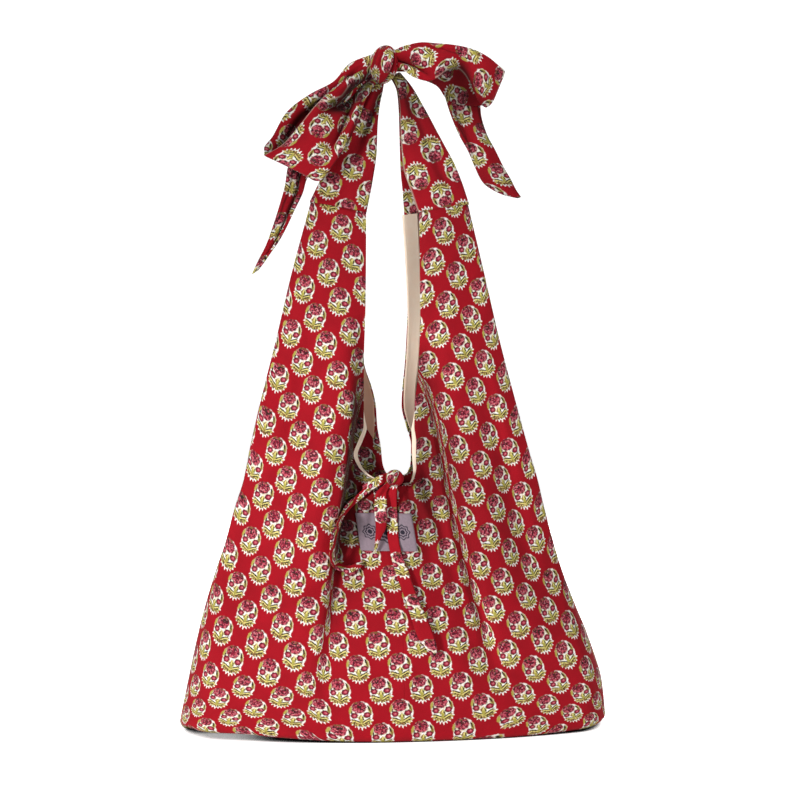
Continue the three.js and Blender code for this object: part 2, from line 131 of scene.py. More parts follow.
def turned(across, up, degrees):
    c, s = math.cos(math.radians(degrees)), math.sin(math.radians(degrees))
    return np.stack([across * c - up * s, across * s + up * c], -1)


# Soft unevenness: a sum of sines with fixed seeded directions, lengths and phases.
def ripples(seed, longest, shortest, count):
    draw = np.random.default_rng(seed)
    length = longest * (shortest / longest) ** draw.random(count)
    angle = draw.random(count) * turnFull
    phase = draw.random(count) * turnFull
    size = length / longest / np.sqrt(count)

    def at(a, b):
        total = np.zeros(np.broadcast(a, b).shape)
        for l, d, p, k in zip(length, angle, phase, size):
            total = total + k * np.sin(turnFull * (a * np.cos(d) + b * np.sin(d)) / l + p)
        return total

    return at


# Mesh from grids. Each grid is (points, cloth) with points (rows, columns, 3) and cloth
# coordinates (rows, columns, 2), both in millimetres. Some cloth has a third column, how much
# painted shade darkens it in folds and shelter, and a fourth, how near to a pale cut edge.
# Points that coincide within the merging distances, in metres, become one.
merging = {'points': 5e-7, 'edges': 1e-6}


def gridObject(name, grids, material, flip=False):
    allPoints, allCloth, allFaces, start = [], [], [], 0
    for points, cloth in grids:
        rows, columns = points.shape[:2]
        index = start + np.arange(rows * columns).reshape(rows, columns)
        quads = np.stack([index[:-1, :-1], index[:-1, 1:], index[1:, 1:], index[1:, :-1]], -1)
        allFaces.append(quads.reshape(-1, 4))
        allPoints.append(points.reshape(-1, 3))
        allCloth.append(cloth.reshape(rows * columns, -1))
        start += rows * columns
    faces = np.concatenate(allFaces)
    faces = faces[:, ::-1] if flip else faces
    cloth = np.concatenate(allCloth)
    mesh = bpy.data.meshes.new(name)
    mesh.from_pydata((np.concatenate(allPoints) * mm).tolist(), [], faces.tolist())
    layer = mesh.uv_layers.new(name='cloth')
    layer.data.foreach_set('uv', cloth[faces.reshape(-1), :2].astype(np.float32).ravel())
    # the third column becomes the painted shade attribute, the fourth the pale cut edge
    for column, attribute in zip(range(2, cloth.shape[1]), ('paintedShade', 'edging')):
        layer = mesh.attributes.new(attribute, 'FLOAT', 'POINT')
        layer.data.foreach_set('value', cloth[:, column].astype(np.float32))
    work = bmesh.new()
    work.from_mesh(mesh)
    bmesh.ops.remove_doubles(work, verts=work.verts, dist=merging['points'])
    bmesh.ops.dissolve_degenerate(work, edges=work.edges, dist=merging['edges'])
    work.to_mesh(mesh)
    work.free()
    mesh.shade_smooth()
    mesh.materials.append(material)
    made = bpy.data.objects.new(name, mesh)
    scene.collection.objects.link(made)
    return made


def normalsOf(points):
    # Cross product of the grid's two differences, at unit length.
    across = np.gradient(points, axis=1)
    along = np.gradient(points, axis=0)
    cross = np.cross(across, along)
    return cross / np.maximum(np.linalg.norm(cross, axis=-1, keepdims=True), 1e-9)


def runLength(points):
    # Distance along the middle column, row by row.
    middle = points[:, points.shape[1] // 2]
    return runningSum(np.linalg.norm(np.diff(middle, axis=0), axis=1), 0)


# Doubled cloth: a face, the same face behind it at the cloth's thickness, and round edges.
# The thickness is even but for a root of 1 - |s|^10 across and a root at both ends within
# endFade, so that the two faces meet there. The print goes on over the edge at clothWidth.
def doubled(points, cloth, thick, endFade, clothWidth=0):
    rows, columns = points.shape[:2]
    s = np.linspace(-1, 1, columns)
    t = np.linspace(0, 1, rows)
    edge = np.sqrt(np.clip(1 - np.abs(s) ** 10, 0, 1))
    end = np.sqrt(np.clip(np.minimum(t, 1 - t) / endFade, 0, 1))
    half = (thick / 2 * edge[None, :] * end[:, None])[..., None]
    normal = normalsOf(points)
    backCloth = cloth.copy()
    backCloth[..., 0] = 2 * clothWidth - cloth[..., 0]
    front = (points + normal * half, cloth)
    back = ((points - normal * half)[:, ::-1], backCloth[:, ::-1])
    return [front, back]


def solidify(piece, thick):
    # Cloth thickness behind the modelled face.
    made = piece.modifiers.new('thickness', 'SOLIDIFY')
    made.thickness = thick * mm
    made.offset = -1
    made.use_even_offset = False
    made.use_quality_normals = True
    return made


def dress(piece, nodes, flat, area=None):
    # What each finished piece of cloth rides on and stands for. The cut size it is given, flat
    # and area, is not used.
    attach(piece, 'root')
    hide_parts(*nodes)


def addNode(tree, kind, inputs=(), **settings):
    made = tree.nodes.new(kind)
    for key, value in settings.items():
        setattr(made, key, value)
    for key, value in dict(inputs).items():
        if isinstance(value, bpy.types.NodeSocket):
            tree.links.new(value, made.inputs[key])
        else:
            made.inputs[key].default_value = value
    return made


def calc(tree, operation, *values):
    # One Math node on up to three numbers.
    return addNode(tree, 'ShaderNodeMath', dict(enumerate(values)), operation=operation).outputs[0]


def calcVector(tree, operation, *values):
    # One Vector Math node on up to three vectors.
    made = addNode(tree, 'ShaderNodeVectorMath', dict(enumerate(values)), operation=operation)
    return made.outputs['Value' if operation == 'LENGTH' else 'Vector']


def remap(tree, value, low, high, toLow=0.0, toHigh=1.0, **settings):
    # From low to high onto toLow to toHigh, and held there beyond them.
    rule = {'Value': value, 'From Min': low, 'From Max': high, 'To Min': toLow, 'To Max': toHigh}
    return addNode(tree, 'ShaderNodeMapRange', rule, **settings).outputs[0]


def partsOf(tree, vector):
    return addNode(tree, 'ShaderNodeSeparateXYZ', {0: vector}).outputs


def noise(tree, cloth, scale, detail):
    rule = {'Vector': cloth, 'Scale': scale, 'Detail': detail}
    return addNode(tree, 'ShaderNodeTexNoise', rule).outputs


def readAttribute(tree, name):
    return addNode(tree, 'ShaderNodeAttribute', attribute_name=name).outputs['Fac']


def mixColour(tree, factor, below, above):
    made = addNode(tree, 'ShaderNodeMix', {0: factor, 6: below, 7: above}, data_type='RGBA')
    return made.outputs[2]


def ink(red, green, blue):
    # Display colour of 0 to 255 as a linear colour.
    share = np.array([red, green, blue]) / 255
    linear = np.where(share <= 0.04045, share / 12.92, ((share + 0.055) / 1.055) ** 2.4)
    return (*linear.tolist(), 1.0)


# The print: one small flower block, stamped on a half-drop lattice. Each row below is one
# shape of ink in the block, in paint order: centre, half sizes, turn in degrees, number and
# depth of petals, softness of its edge, grain and ink. Grain is 0 for a full shape, or else
# the share of it that the specks of a broken print cover.
block = {
    'pitchX': 36.6, 'pitchY': 43.4,
    'inks': {
        'cream': (238, 226, 200), 'white': (255, 252, 246), 'pink': (206, 88, 104),
        'blush': (222, 142, 148), 'crimson': (146, 32, 54), 'wine': (82, 24, 38), 'leaf': (182, 172, 80),
        'gold': (232, 218, 132), 'olive': (134, 92, 56), 'dark': (50, 38, 32),
    },
    'columns': ('x', 'y', 'halfX', 'halfY', 'turn', 'petals', 'depth', 'soft', 'grain', 'ink'),
    'shapes': [
        (0.5, 0.2, 10.1, 12.4, 0, 13, 0.02, 0.05, 0, 'white'),
        (-1.2, 3.4, 9.0, 8.8, 0, 9, 0.02, 0.06, 0.5, 'cream'),
        (0.3, -6.4, 8.8, 4.5, 0, 9, 0.10, 0.10, 0, 'leaf'),
        (0.3, -6.6, 8.6, 4.3, 0, 9, 0.10, 0.10, 0.42, 'gold'),
        (0.1, -8.4, 7.6, 3.0, 0, 9, 0.10, 0.10, 0.42, 'olive'),
        (-3.8, -3.9, 5.4, 1.05, -24, 0, 0, 0.25, 0, 'white'),
        (4.4, -3.5, 5.4, 1.05, 26, 0, 0, 0.25, 0, 'white'),
        (-4.4, -5.4, 4.7, 0.55, -22, 0, 0, 0.3, 0, 'dark'),
        (5.0, -4.9, 4.6, 0.55, 30, 0, 0, 0.3, 0, 'dark'),
        (-4.5, -6.7, 4.4, 0.7, -22, 0, 0, 0.3, 0, 'gold'),
        (5.1, -6.2, 4.2, 0.7, 30, 0, 0, 0.3, 0, 'gold'),
        (-3.9, -7.9, 3.7, 0.5, -20, 0, 0, 0.3, 0, 'olive'),
        (4.6, -7.5, 3.7, 0.5, 28, 0, 0, 0.3, 0, 'dark'),
        (0.4, -3.8, 1.8, 3.6, 0, 0, 0, 0.2, 0, 'leaf'),
        (0.5, -2.2, 1.3, 1.5, 0, 0, 0, 0.3, 0, 'gold'),
        (1.9, -3.3, 0.5, 2.0, 20, 0, 0, 0.3, 0, 'dark'),
        (-1.2, -2.6, 0.5, 2.2, -22, 0, 0, 0.3, 0, 'olive'),
        (-9.1, 4.6, 1.2, 3.4, -12, 0, 0, 0.3, 0, 'leaf'),
        (-8.0, 2.6, 0.55, 2.0, -8, 0, 0, 0.3, 0, 'dark'),
        (8.3, 4.2, 1.5, 4.0, 12, 0, 0, 0.3, 0, 'leaf'),
        (7.5, 5.8, 0.8, 3.2, 22, 0, 0, 0.3, 0, 'dark'),
        (8.7, 2.8, 0.55, 2.3, 8, 0, 0, 0.3, 0, 'olive'),
        (-1.3, 7.2, 6.3, 5.6, 0, 9, 0.06, 0.08, 0, 'wine'),
        (-1.3, 7.2, 5.8, 5.1, 14, 9, 0.13, 0.12, 0, 'crimson'),
        (-1.4, 7.0, 5.3, 4.6, 0, 7, 0.26, 0.16, 0.72, 'pink'),
        (-1.3, 7.4, 2.5, 2.2, 25, 5, 0.35, 0.2, 0, 'crimson'),
        (-1.3, 6.4, 5.6, 4.4, 0, 0, 0, 0.10, 0.24, 'blush'),
        (-1.3, 7.2, 5.8, 5.0, 0, 0, 0, 0.10, 0.38, 'wine'),
        (-1.3, 9.6, 4.8, 2.9, 0, 0, 0, 0.2, 0.34, 'dark'),
        (-1.2, 11.6, 4.6, 1.0, 0, 0, 0, 0.2, 0.5, 'olive'),
        (-5.8, -0.6, 3.1, 2.8, 0, 6, 0.06, 0.1, 0, 'wine'),
        (-5.6, -0.6, 2.5, 2.2, 20, 5, 0.15, 0.2, 0, 'crimson'),
        (-5.6, -0.8, 1.4, 1.1, 0, 5, 0.2, 0.3, 0, 'pink'),
        (-5.4, -0.4, 0.8, 0.35, 30, 0, 0, 0.4, 0, 'blush'),
        (5.7, -0.2, 3.4, 2.8, 12, 6, 0.06, 0.1, 0, 'wine'),
        (5.8, -0.2, 2.7, 2.1, 20, 5, 0.15, 0.2, 0, 'crimson'),
        (5.9, -0.1, 1.4, 1.1, 0, 5, 0.2, 0.3, 0, 'pink'),
        (6.3, 0.3, 0.8, 0.35, -25, 0, 0, 0.4, 0, 'blush'),
    ],
    # teeth stand round the foot of the block between two angles, in degrees from +x, each with
    # a thin stroke inside it; the middle one is longer
    'teeth': {'count': 9, 'from': 206, 'to': 336, 'x': 0.5, 'y': -0.4, 'ringX': 9.9, 'ringY': 12.0,
              'long': 1.7, 'wide': 0.66, 'middleLonger': 1.35, 'sideways': 1.6, 'soft': 0.2},
    'strokes': {'ring': 0.86, 'long': 1.3, 'wide': 0.42, 'turn': 12, 'soft': 0.3,
                'inks': ('olive', 'dark')},
    # dye is how dark and how bright the ground's red gets, spot the same for the small spots of
    # all inks, between two levels of their noise
    'ground': (170, 15, 31), 'dye': (0.86, 1.08), 'dyeScale': 0.05, 'cutEdge': (226, 196, 178),
    'spot': (0.84, 1.05), 'spotLevels': (0.35, 0.7), 'spotScale': 1.4,
    # specks that break a grained shape, and which of the noise's three planes each ink reads
    'speckScale': 0.5, 'speckSpread': 0.42, 'speckSoft': 0.03,
    'specks': {'wine': 0, 'olive': 1, 'gold': 2, 'cream': 2, 'pink': 1, 'blush': 2, 'dark': 1},
    # the block isn't stamped quite alike each time: it shifts a little and its ink bleeds
    'shift': 0.9, 'bleed': 1.5, 'bleedScale': 0.8,
}

# Cloth finishes: pitch of the threads, strength of their bump, roughness and sheen. What all
# cloth shares is the bump's height, the threads' share in it beside the slubs, the slubs'
# scale, the shine and the sheen's roughness.
finishes = {
    'bumpHeight': 0.3, 'threadShare': 0.35, 'slubScale': 0.55, 'shine': 0.15, 'sheenRough': 0.45,
    'print': {'pitch': 0.9, 'bump': 0.5, 'rough': 0.85, 'sheen': 0.03},
    'facing': {'pitch': 0.8, 'bump': 0.6, 'rough': 0.85, 'sheen': 0.1},
    'label': {'pitch': 0.6, 'bump': 0.5, 'rough': 0.7, 'sheen': 0.1},
}


def blockCell(tree, cloth):
    # Two lattices, the second shifted by half a step both ways. The nearer one is the one
    # for which |x| / pitchX + |y| / pitchY is under a half. Gives the place in the block and
    # three chance numbers that are the same all over one block.
    halfX, halfY = block['pitchX'] / 2, block['pitchY'] / 2
    places = []
    for shiftX, shiftY in ((0, 0), (halfX, halfY)):
        moved = calcVector(tree, 'ADD', cloth, (-shiftX, -shiftY, 0))
        places.append(calcVector(tree, 'WRAP', moved, (halfX, halfY, 1), (-halfX, -halfY, -1)))
    shares = calcVector(tree, 'MULTIPLY', places[0], (0.5 / halfX, 0.5 / halfY, 0))
    x, y = [calc(tree, 'ABSOLUTE', part) for part in partsOf(tree, shares)[:2]]
    second = calc(tree, 'GREATER_THAN', calc(tree, 'ADD', x, y), 0.5)
    place = addNode(tree, 'ShaderNodeMix', {0: second, 4: places[0], 5: places[1]},
                    data_type='VECTOR').outputs[1]
    middle = calcVector(tree, 'SUBTRACT', cloth, place)
    steps = calcVector(tree, 'MULTIPLY', middle, (1 / halfX, 1 / halfY, 0))
    cell = calcVector(tree, 'FLOOR', calcVector(tree, 'ADD', steps, (0.5, 0.5, 0.5)))
    chance = addNode(tree, 'ShaderNodeTexWhiteNoise', {0: cell}, noise_dimensions='3D')
    return place, chance.outputs['Color']


def inkMask(tree, place, row, specks=None):
    # 1 inside an ellipse and 0 outside: its place, turned and scaled to a unit circle, gives
    # the radius, divided by 1 + depth * cos(petals * angle) where it has petals. A grained
    # shape is kept only where the specks' noise passes a level that its share sets.
    size = max(row['halfX'], row['halfY'])
    local = addNode(tree, 'ShaderNodeMapping',
                    {'Vector': place, 'Location': (row['x'], row['y'], 0),
                     'Rotation': (0, 0, math.radians(row['turn'])),
                     'Scale': (row['halfX'], row['halfY'], size)}, vector_type='TEXTURE').outputs[0]
    radius = calcVector(tree, 'LENGTH', local)
    if row['petals']:
        x, y = partsOf(tree, local)[:2]
        wave = calc(tree, 'COSINE', calc(tree, 'MULTIPLY', calc(tree, 'ARCTAN2', y, x), row['petals']))
        radius = calc(tree, 'DIVIDE', radius, calc(tree, 'MULTIPLY_ADD', wave, row['depth'], 1.0))
    inside = remap(tree, radius, 1 + row['soft'], 1 - row['soft'], interpolation_type='SMOOTHSTEP')
    if row['grain']:
        level = 0.5 + (0.5 - row['grain']) * block['speckSpread']
        soft = block['speckSoft']
        kept = remap(tree, specks[block['specks'][row['ink']]], level - soft, level + soft)
        inside = calc(tree, 'MULTIPLY', inside, kept)
    return inside


def blockRows():
    # The block's shapes as dictionaries, with its teeth worked out round the foot: each tooth
    # points outwards, more sideways than it stands, and is painted under the flower.
    rows = [dict(zip(block['columns'], shape)) for shape in block['shapes']]
    plain = {'petals': 0, 'depth': 0, 'grain': 0}
    teeth, strokes = block['teeth'], block['strokes']
    for k in range(teeth['count']):
        angle = math.radians(between(teeth['from'], teeth['to'], k / (teeth['count'] - 1)))
        x, y = teeth['ringX'] * math.cos(angle) + teeth['x'], teeth['ringY'] * math.sin(angle) + teeth['y']
        longer = teeth['middleLonger'] if k == teeth['count'] // 2 else 1
        outward = math.degrees(math.atan2(y, x * teeth['sideways']))
        rows.insert(1, {**plain, 'x': x, 'y': y, 'halfX': teeth['long'] * longer, 'halfY': teeth['wide'],
                        'turn': outward, 'soft': teeth['soft'], 'ink': 'white'})
        rows.append({**plain, 'x': x * strokes['ring'], 'y': y * strokes['ring'], 'halfX': strokes['long'],
                     'halfY': strokes['wide'], 'turn': outward + strokes['turn'],
                     'soft': strokes['soft'], 'ink': strokes['inks'][k % 2]})
    return rows


def weave(tree, cloth, finish):
    # Plain weave as a bump: the product of two sines at the thread pitch, and soft slubs.
    waves = [calc(tree, 'SINE', calc(tree, 'MULTIPLY', part, turnFull / finish['pitch']))
             for part in partsOf(tree, cloth)[:2]]
    threads = calc(tree, 'MULTIPLY', calc(tree, 'MULTIPLY', *waves), finishes['threadShare'])
    height = calc(tree, 'ADD', threads, noise(tree, cloth, finishes['slubScale'], 4.0)[0])
    rule = {'Strength': finish['bump'], 'Distance': finishes['bumpHeight'] * mm, 'Height': height}
    return addNode(tree, 'ShaderNodeBump', rule).outputs[0]


def emptyMaterial(name):
    made = bpy.data.materials.new(name)
    made.use_nodes = True
    made.node_tree.nodes.clear()
    return made, made.node_tree


def clothMaterial(name, finish, paint):
    # Woven cloth whose colour is what paint gives for a tree and its cloth coordinates.
    made, tree = emptyMaterial(name)
    cloth = addNode(tree, 'ShaderNodeUVMap', uv_map='cloth').outputs[0]
    shader = addNode(tree, 'ShaderNodeBsdfPrincipled',
                     {'Base Color': paint(tree, cloth), 'Roughness': finish['rough'],
                      'Specular IOR Level': finishes['shine'], 'Sheen Weight': finish['sheen'],
                      'Sheen Roughness': finishes['sheenRough'], 'Normal': weave(tree, cloth, finish)})
    output = addNode(tree, 'ShaderNodeOutputMaterial')
    tree.links.new(shader.outputs[0], output.inputs[0])
    return made


def printedCotton(name, paintedShadeScale):
    # The second argument is how much of the print's brightness shows: at 0.5 it is painted
    # shade, for the cloth's back side inside the bag. Paint stamps the block's shapes on the dyed
    # ground and makes both spotty, and then come the pale cut edge and the painted shade that the
    # cloth's attribute gives.
    def paint(tree, cloth):
        place, chance = blockCell(tree, cloth)
        bleed = noise(tree, cloth, block['bleedScale'], 2.0)['Color']
        for wander, size in ((chance, block['shift']), (bleed, block['bleed'])):
            offset = calcVector(tree, 'ADD', wander, (-0.5, -0.5, -0.5))
            offset = calcVector(tree, 'MULTIPLY', offset, (size, size, 0))
            place = calcVector(tree, 'ADD', place, offset)
        dark, bright = [ink(*(min(255, c * share) for c in block['ground'])) for share in block['dye']]
        colour = mixColour(tree, noise(tree, cloth, block['dyeScale'], 5.0)[0], dark, bright)
        specks = partsOf(tree, noise(tree, cloth, block['speckScale'], 1.0)['Color'])
        for row in blockRows():
            mask = inkMask(tree, place, row, specks)
            colour = mixColour(tree, mask, colour, ink(*block['inks'][row['ink']]))
        spots = noise(tree, cloth, block['spotScale'], 2.0)[0]
        spots = remap(tree, spots, *block['spotLevels'], *block['spot'])
        colour = calcVector(tree, 'MULTIPLY', colour, spots)
        colour = mixColour(tree, readAttribute(tree, 'edging'), colour, ink(*block['cutEdge']))
        # painted shade: the colour is darkened by the shade attribute and by the brightness scale
        lit = calc(tree, 'SUBTRACT', 1.0, readAttribute(tree, 'paintedShade'))
        return calcVector(tree, 'MULTIPLY', colour, calc(tree, 'MULTIPLY', lit, paintedShadeScale))

    return clothMaterial(name, finishes['print'], paint)


def plainCotton(name, low, high, deep):
    # Cloth of one colour: uneven between two tones, and turned towards the deep tone by the
    # painted shade attribute; that tone is painted shade, reddened like light thrown back by the
    # red cloth around it.
    def paint(tree, cloth):
        colour = mixColour(tree, noise(tree, cloth, 0.12, 6.0)[0], ink(*low), ink(*high))
        return mixColour(tree, readAttribute(tree, 'paintedShade'), colour, ink(*deep))

    return clothMaterial(name, finishes['facing'], paint)


# The second material is the same print at half brightness: painted shade for the inside of the bag.
printed = printedCotton('printed cotton', 1.0)
reverseInPaintedShade = printedCotton('printed cotton reverse', 0.5)
facingCotton = plainCotton('facing cotton', (255, 226, 200), (255, 240, 220), (156, 84, 50))
print('cloth finishes made')

# The body. Outer edges in x by height, then depths forward of the side seam: corner is the
# depth of the rounded side, reach its extent in x, middle and centre are further depth half
# way to the centre line and at it. For every cloth, flat and area are its cut size in metres.
body = {
    'centreX': 1,
    'outline': curves('z left right corner reach middle centre', [
        (0, -201, 201, 46, 30, 26, 34), (40, -193, 197, 44, 28, 27, 36),
        (83, -184, 184, 36, 24, 29, 39), (115, -176, 171, 24, 17, 31, 40),
        (145, -167, 160, 9, 8, 33, 40), (175, -157, 151, 3, 3, 33, 35),
        (205, -149, 143, 3, 3, 29, 22), (230, -141, 137, 3, 3, 23, 10),
        (260, -135, 128, 3, 3, 20, -4), (300, -126, 117, 3, 3, 18, 2),
        (360, -111, 101, 3, 3, 15, 3), (420, -97, 87, 3, 3, 12, 2), (491, -78, 70, 3, 3, 9, 0),
    ]),
    'hemRadius': 8, 'baseHalfWidth': 201, 'baseHalfDepth': 80,
    # how far the bottom edge is drawn up off the floor, fading out at drawnTop and, on the base,
    # within drawnReach of its middle seam
    'drawnTop': 70, 'drawnReach': 12, 'drawn': curves('x up', [
        (-201, 3.5), (-188, 6.5), (-150, 6.5), (-100, 3.2), (-50, 0.8), (-10, 0), (90, 0), (130, 0.8),
        (165, 2.4), (190, 3.4), (201, 3)]),
    'armTop': 480, 'armSlant': 10, 'slantStart': 420,
    'thick': 1.0, 'seamGap': 0.15, 'deepest': 0.8, 'flat': (0.46, 0.57), 'area': 0.155,
    # folds and ripples fade out at the side edge, and the ripples at the floor too
    'edgeFade': 20, 'rippleTop': 60, 'rippleSize': 2.2, 'rippleStretch': 0.6,
    # upperEase draws the rows above the rim's foot together there, columnEase the columns at
    # the side edge and the rim
    'lowerRows': 84, 'upperRows': 99, 'upperEase': 1.25, 'halfColumns': 110, 'columnEase': 0.09,
    'baseRows': 8, 'hemRows': 8,
}

# How the print lies on the body. Slump is the cloth's slack in the middle, tuck its slack at
# the side's foot, and wrap what it takes up at the side edge, fading out over wrapReach. The
# cloth's run in the folds is counted from centreLine, or beside the folds from left and right.
# Pivot is the height of the folds' foot.
drape = {
    'pivotZ': 30, 'centreLine': 22, 'slump': 1.07, 'tuck': 24, 'tuckHeight': 60, 'wrap': 5,
    'wrapReach': 32,
    'left': curves('z x', [(0, -135), (200, -100), (300, -80), (480, -52)]),
    'right': curves('z x', [(0, 145), (200, 100), (300, 78), (480, 46)]),
}

# A panel: x of its cut rims by height, its folds and its cloth. A fold is a soft trough with
# its own half width on the side towards the seam and on the side towards the rim. A
# negative sink is a ridge. The cloth's origin and turn place its print in the middle. Beside a
# fold, foot is the x of the fold's foot, lean the print's slant in degrees and slip its shift,
# and line is where the two prints meet, over a width of blend.
foldColumns = 'z x seamward rimward sink'
rimColumns = 'z left right'
lineColumns = 'z x blend'
frontPanel = {
    'face': -1, 'rimZ': 224,
    'rims': curves(rimColumns, [
        (224, 1, 1), (228, -9, 14), (234, -25, 18), (243, -34, 20), (254, -38, 20), (266, -34, 20),
        (281, -29, 18), (300, -29, 18), (325, -29, 21), (390, -28, 23), (480, -27, 22),
    ]),
    'folds': curveSets(foldColumns, [
        # left fold: a steep wall behind its crest, then a slow rise to the rim
        [(25, -71, 8, 26, 0), (50, -68, 8, 26, 3), (90, -64, 7, 28, 7), (125, -60, 5.5, 30, 11.5),
         (160, -55, 4.4, 34, 16.5), (210, -47, 3.8, 34, 22), (232, -42, 3.6, 24, 21),
         (268, -37, 4, 18, 18), (305, -33, 5, 16, 14), (342, -30, 8, 14, 9), (385, -27, 10, 14, 0)],
        # soft crest along it
        [(60, -96, 24, 24, 0), (150, -84, 22, 18, -5), (240, -64, 16, 14, -7),
         (330, -50, 14, 14, -4), (400, -46, 14, 14, 0)],
        # right fold
        [(30, 92, 9, 26, 0), (60, 86, 8, 22, 3.5), (90, 79.5, 7, 18, 7), (122, 71, 6.5, 18, 10),
         (158, 62.5, 6.5, 20, 13.5), (212, 51.5, 6.5, 22, 16), (244, 47, 6.5, 20, 16),
         (276, 42, 7, 16, 14), (310, 35, 8, 12, 9), (346, 30, 9, 12, 3), (370, 27, 9, 12, 0)],
        # narrow lit ridge on the rim's side of it
        [(60, 76, 5, 6, 0), (100, 68, 4, 6, -3), (122, 63, 4, 6, -4.5), (185, 49, 4, 6, -5),
         (244, 40, 4, 6, -5), (300, 31, 4, 5, -2.5), (340, 26, 4, 5, 0)],
        [(60, 122, 26, 26, 0), (130, 104, 22, 20, -4), (220, 76, 16, 14, -6), (300, 60, 14, 12, -4),
         (380, 50, 14, 14, 0)],
        [(110, 134, 16, 16, 0), (193, 117, 10, 14, 4), (240, 105, 9, 12, 5), (277, 95, 8, 12, 5),
         (340, 82, 8, 12, 0)],
        [(190, -120, 10, 14, 0), (250, -104, 8, 12, 3), (320, -88, 8, 12, 4), (400, -72, 8, 12, 0)],
        # gathers that fan out from the tie
        [(120, -40, 10, 8, 0), (165, -31, 7, 6, 3), (205, -20, 5, 5, 5.5), (224, -9, 4, 4, 4),
         (236, -4, 4, 4, 0)],
        [(135, -6, 9, 9, 0), (178, -9, 7, 7, 2.5), (212, -7, 5, 5, 4), (228, -4, 3, 3, 0)],
        [(110, 36, 10, 10, 0), (160, 29, 7, 8, 3), (200, 20, 5, 6, 5.5), (224, 9, 4, 4, 4),
         (236, 5, 4, 4, 0)],
        [(150, 52, 8, 8, 0), (190, 40, 6, 7, 3.5), (220, 30, 5, 6, 5), (245, 26, 5, 6, 3),
         (262, 24, 5, 6, 0)],
    ]),
    'cloth': {
        'origin': (18.15, 7.3), 'turn': -2.5,
        'left': {'lean': 16.9, 'foot': -72, 'slip': (-3.2, -1.0),
                 'line': curves(lineColumns, [
                     (0, -74, 24), (50, -74, 20), (90, -69, 7), (125, -63, 2.5), (210, -50, 2),
                     (268, -40.5, 2), (330, -22, 3), (345, 1, 5)])},
        'right': {'lean': 17.8, 'foot': 88, 'slip': (-2.2, 3.5),
                  'line': curves(lineColumns, [
                      (0, 88, 24), (45, 86, 20), (90, 79, 9), (122, 70.5, 4.5), (212, 52, 4),
                      (275, 42, 4), (330, 20, 5), (345, 1, 5)])},
    },
    # painted shade: the cloth is darkened where it lies deep in the bag's folds, and at the arms'
    # tops, where less light reaches
    'paintedShades': curveSets(foldColumns, [
        [(60, -67, 5, 20, 0), (100, -63, 5, 24, 0.08), (150, -56, 5, 30, 0.3),
         (200, -48, 5, 38, 0.54), (240, -42, 5, 30, 0.5), (300, -34, 6, 18, 0.36),
         (340, -30, 8, 14, 0.1), (380, -28, 8, 14, 0)],
        [(80, -67, 2, 8, 0), (130, -62.5, 2, 8, 0.1), (180, -55.5, 2, 12, 0.5),
         (230, -47.5, 2, 13, 0.62), (285, -41, 2, 12, 0.62), (330, -37, 3, 8, 0.2),
         (350, -35, 3, 8, 0)],
        [(110, 24, 14, 14, 0), (150, 22, 18, 18, 0.15), (190, 24, 20, 22, 0.42),
         (220, 26, 20, 26, 0.6), (255, 30, 18, 20, 0.52), (290, 30, 14, 18, 0.48),
         (335, 27, 12, 14, 0.36), (370, 25, 10, 10, 0)],
        [(120, 78, 16, 12, 0), (160, 70, 20, 14, 0.22), (205, 62, 22, 14, 0.28),
         (250, 56, 20, 12, 0.28), (300, 50, 16, 10, 0.12), (340, 46, 12, 10, 0)],
        [(370, 0, 150, 150, 0), (430, 0, 150, 150, 0.1), (480, 0, 150, 150, 0.16)],
    ]),
    'ripples': ripples(3, 120, 30, 12),
}
backPanel = {
    'face': 1, 'rimZ': 231,
    'rims': curves(rimColumns, [
        (231, 1, 1), (236, -6, 14), (246, -10, 17), (262, -12, 17), (281, -15, 12), (300, -16, 8),
        (318, -20, 9), (335, -26, 11), (362, -32, 13), (391, -34, 14), (480, -35, 11),
    ]),
    'folds': curveSets(foldColumns, [
        [(40, -74, 18, 22, 0), (120, -66, 12, 20, 8), (230, -50, 10, 18, 12), (330, -44, 10, 14, 8),
         (400, -42, 12, 12, 0)],
        [(40, 78, 18, 22, 0), (120, 68, 12, 20, 8), (230, 50, 10, 18, 12), (330, 40, 10, 14, 7),
         (400, 38, 12, 12, 0)],
        [(110, -116, 14, 16, 0), (200, -98, 10, 13, 4), (300, -82, 10, 12, 0)],
        [(110, 122, 14, 16, 0), (210, 100, 10, 13, 4), (310, 80, 10, 12, 0)],
    ]),
    'cloth': {
        'origin': (10, 18), 'turn': 0,
        'left': {'lean': 17, 'foot': -74, 'slip': (0, 0),
                 'line': curves(lineColumns, [
                     (0, -78, 24), (50, -77, 20), (120, -70, 6), (230, -54, 5), (290, -40, 5),
                     (330, -20, 5), (345, 1, 5)])},
        'right': {'lean': 17, 'foot': 78, 'slip': (0, 0),
                  'line': curves(lineColumns, [
                      (0, 82, 24), (45, 81, 20), (120, 72, 6), (230, 54, 5), (290, 40, 5),
                      (330, 20, 5), (345, 1, 5)])},
    },
    # painted shade in the back's two side folds
    'paintedShades': curveSets(foldColumns, [
        [(60, -74, 8, 20, 0), (120, -66, 8, 20, 0.25), (230, -50, 7, 18, 0.35),
         (330, -44, 8, 14, 0.2), (400, -42, 8, 12, 0)],
        [(60, 78, 8, 20, 0), (120, 68, 8, 20, 0.25), (230, 50, 7, 18, 0.35), (330, 40, 8, 14, 0.2),
         (400, 38, 8, 12, 0)],
    ]),
    'ripples': ripples(8, 120, 30, 12),
}


def foldSink(folds, half, x, z):
    # Sum of bell shaped troughs, wider or narrower on either side of each fold's line.
    total = 0
    for fold in folds:
        away = (x - fold['x'](z)) * half
        width = np.where(away > 0, fold['seamward'](z), fold['rimward'](z))
        total = total + fold['sink'](z) * gauss(away / width)
    return total


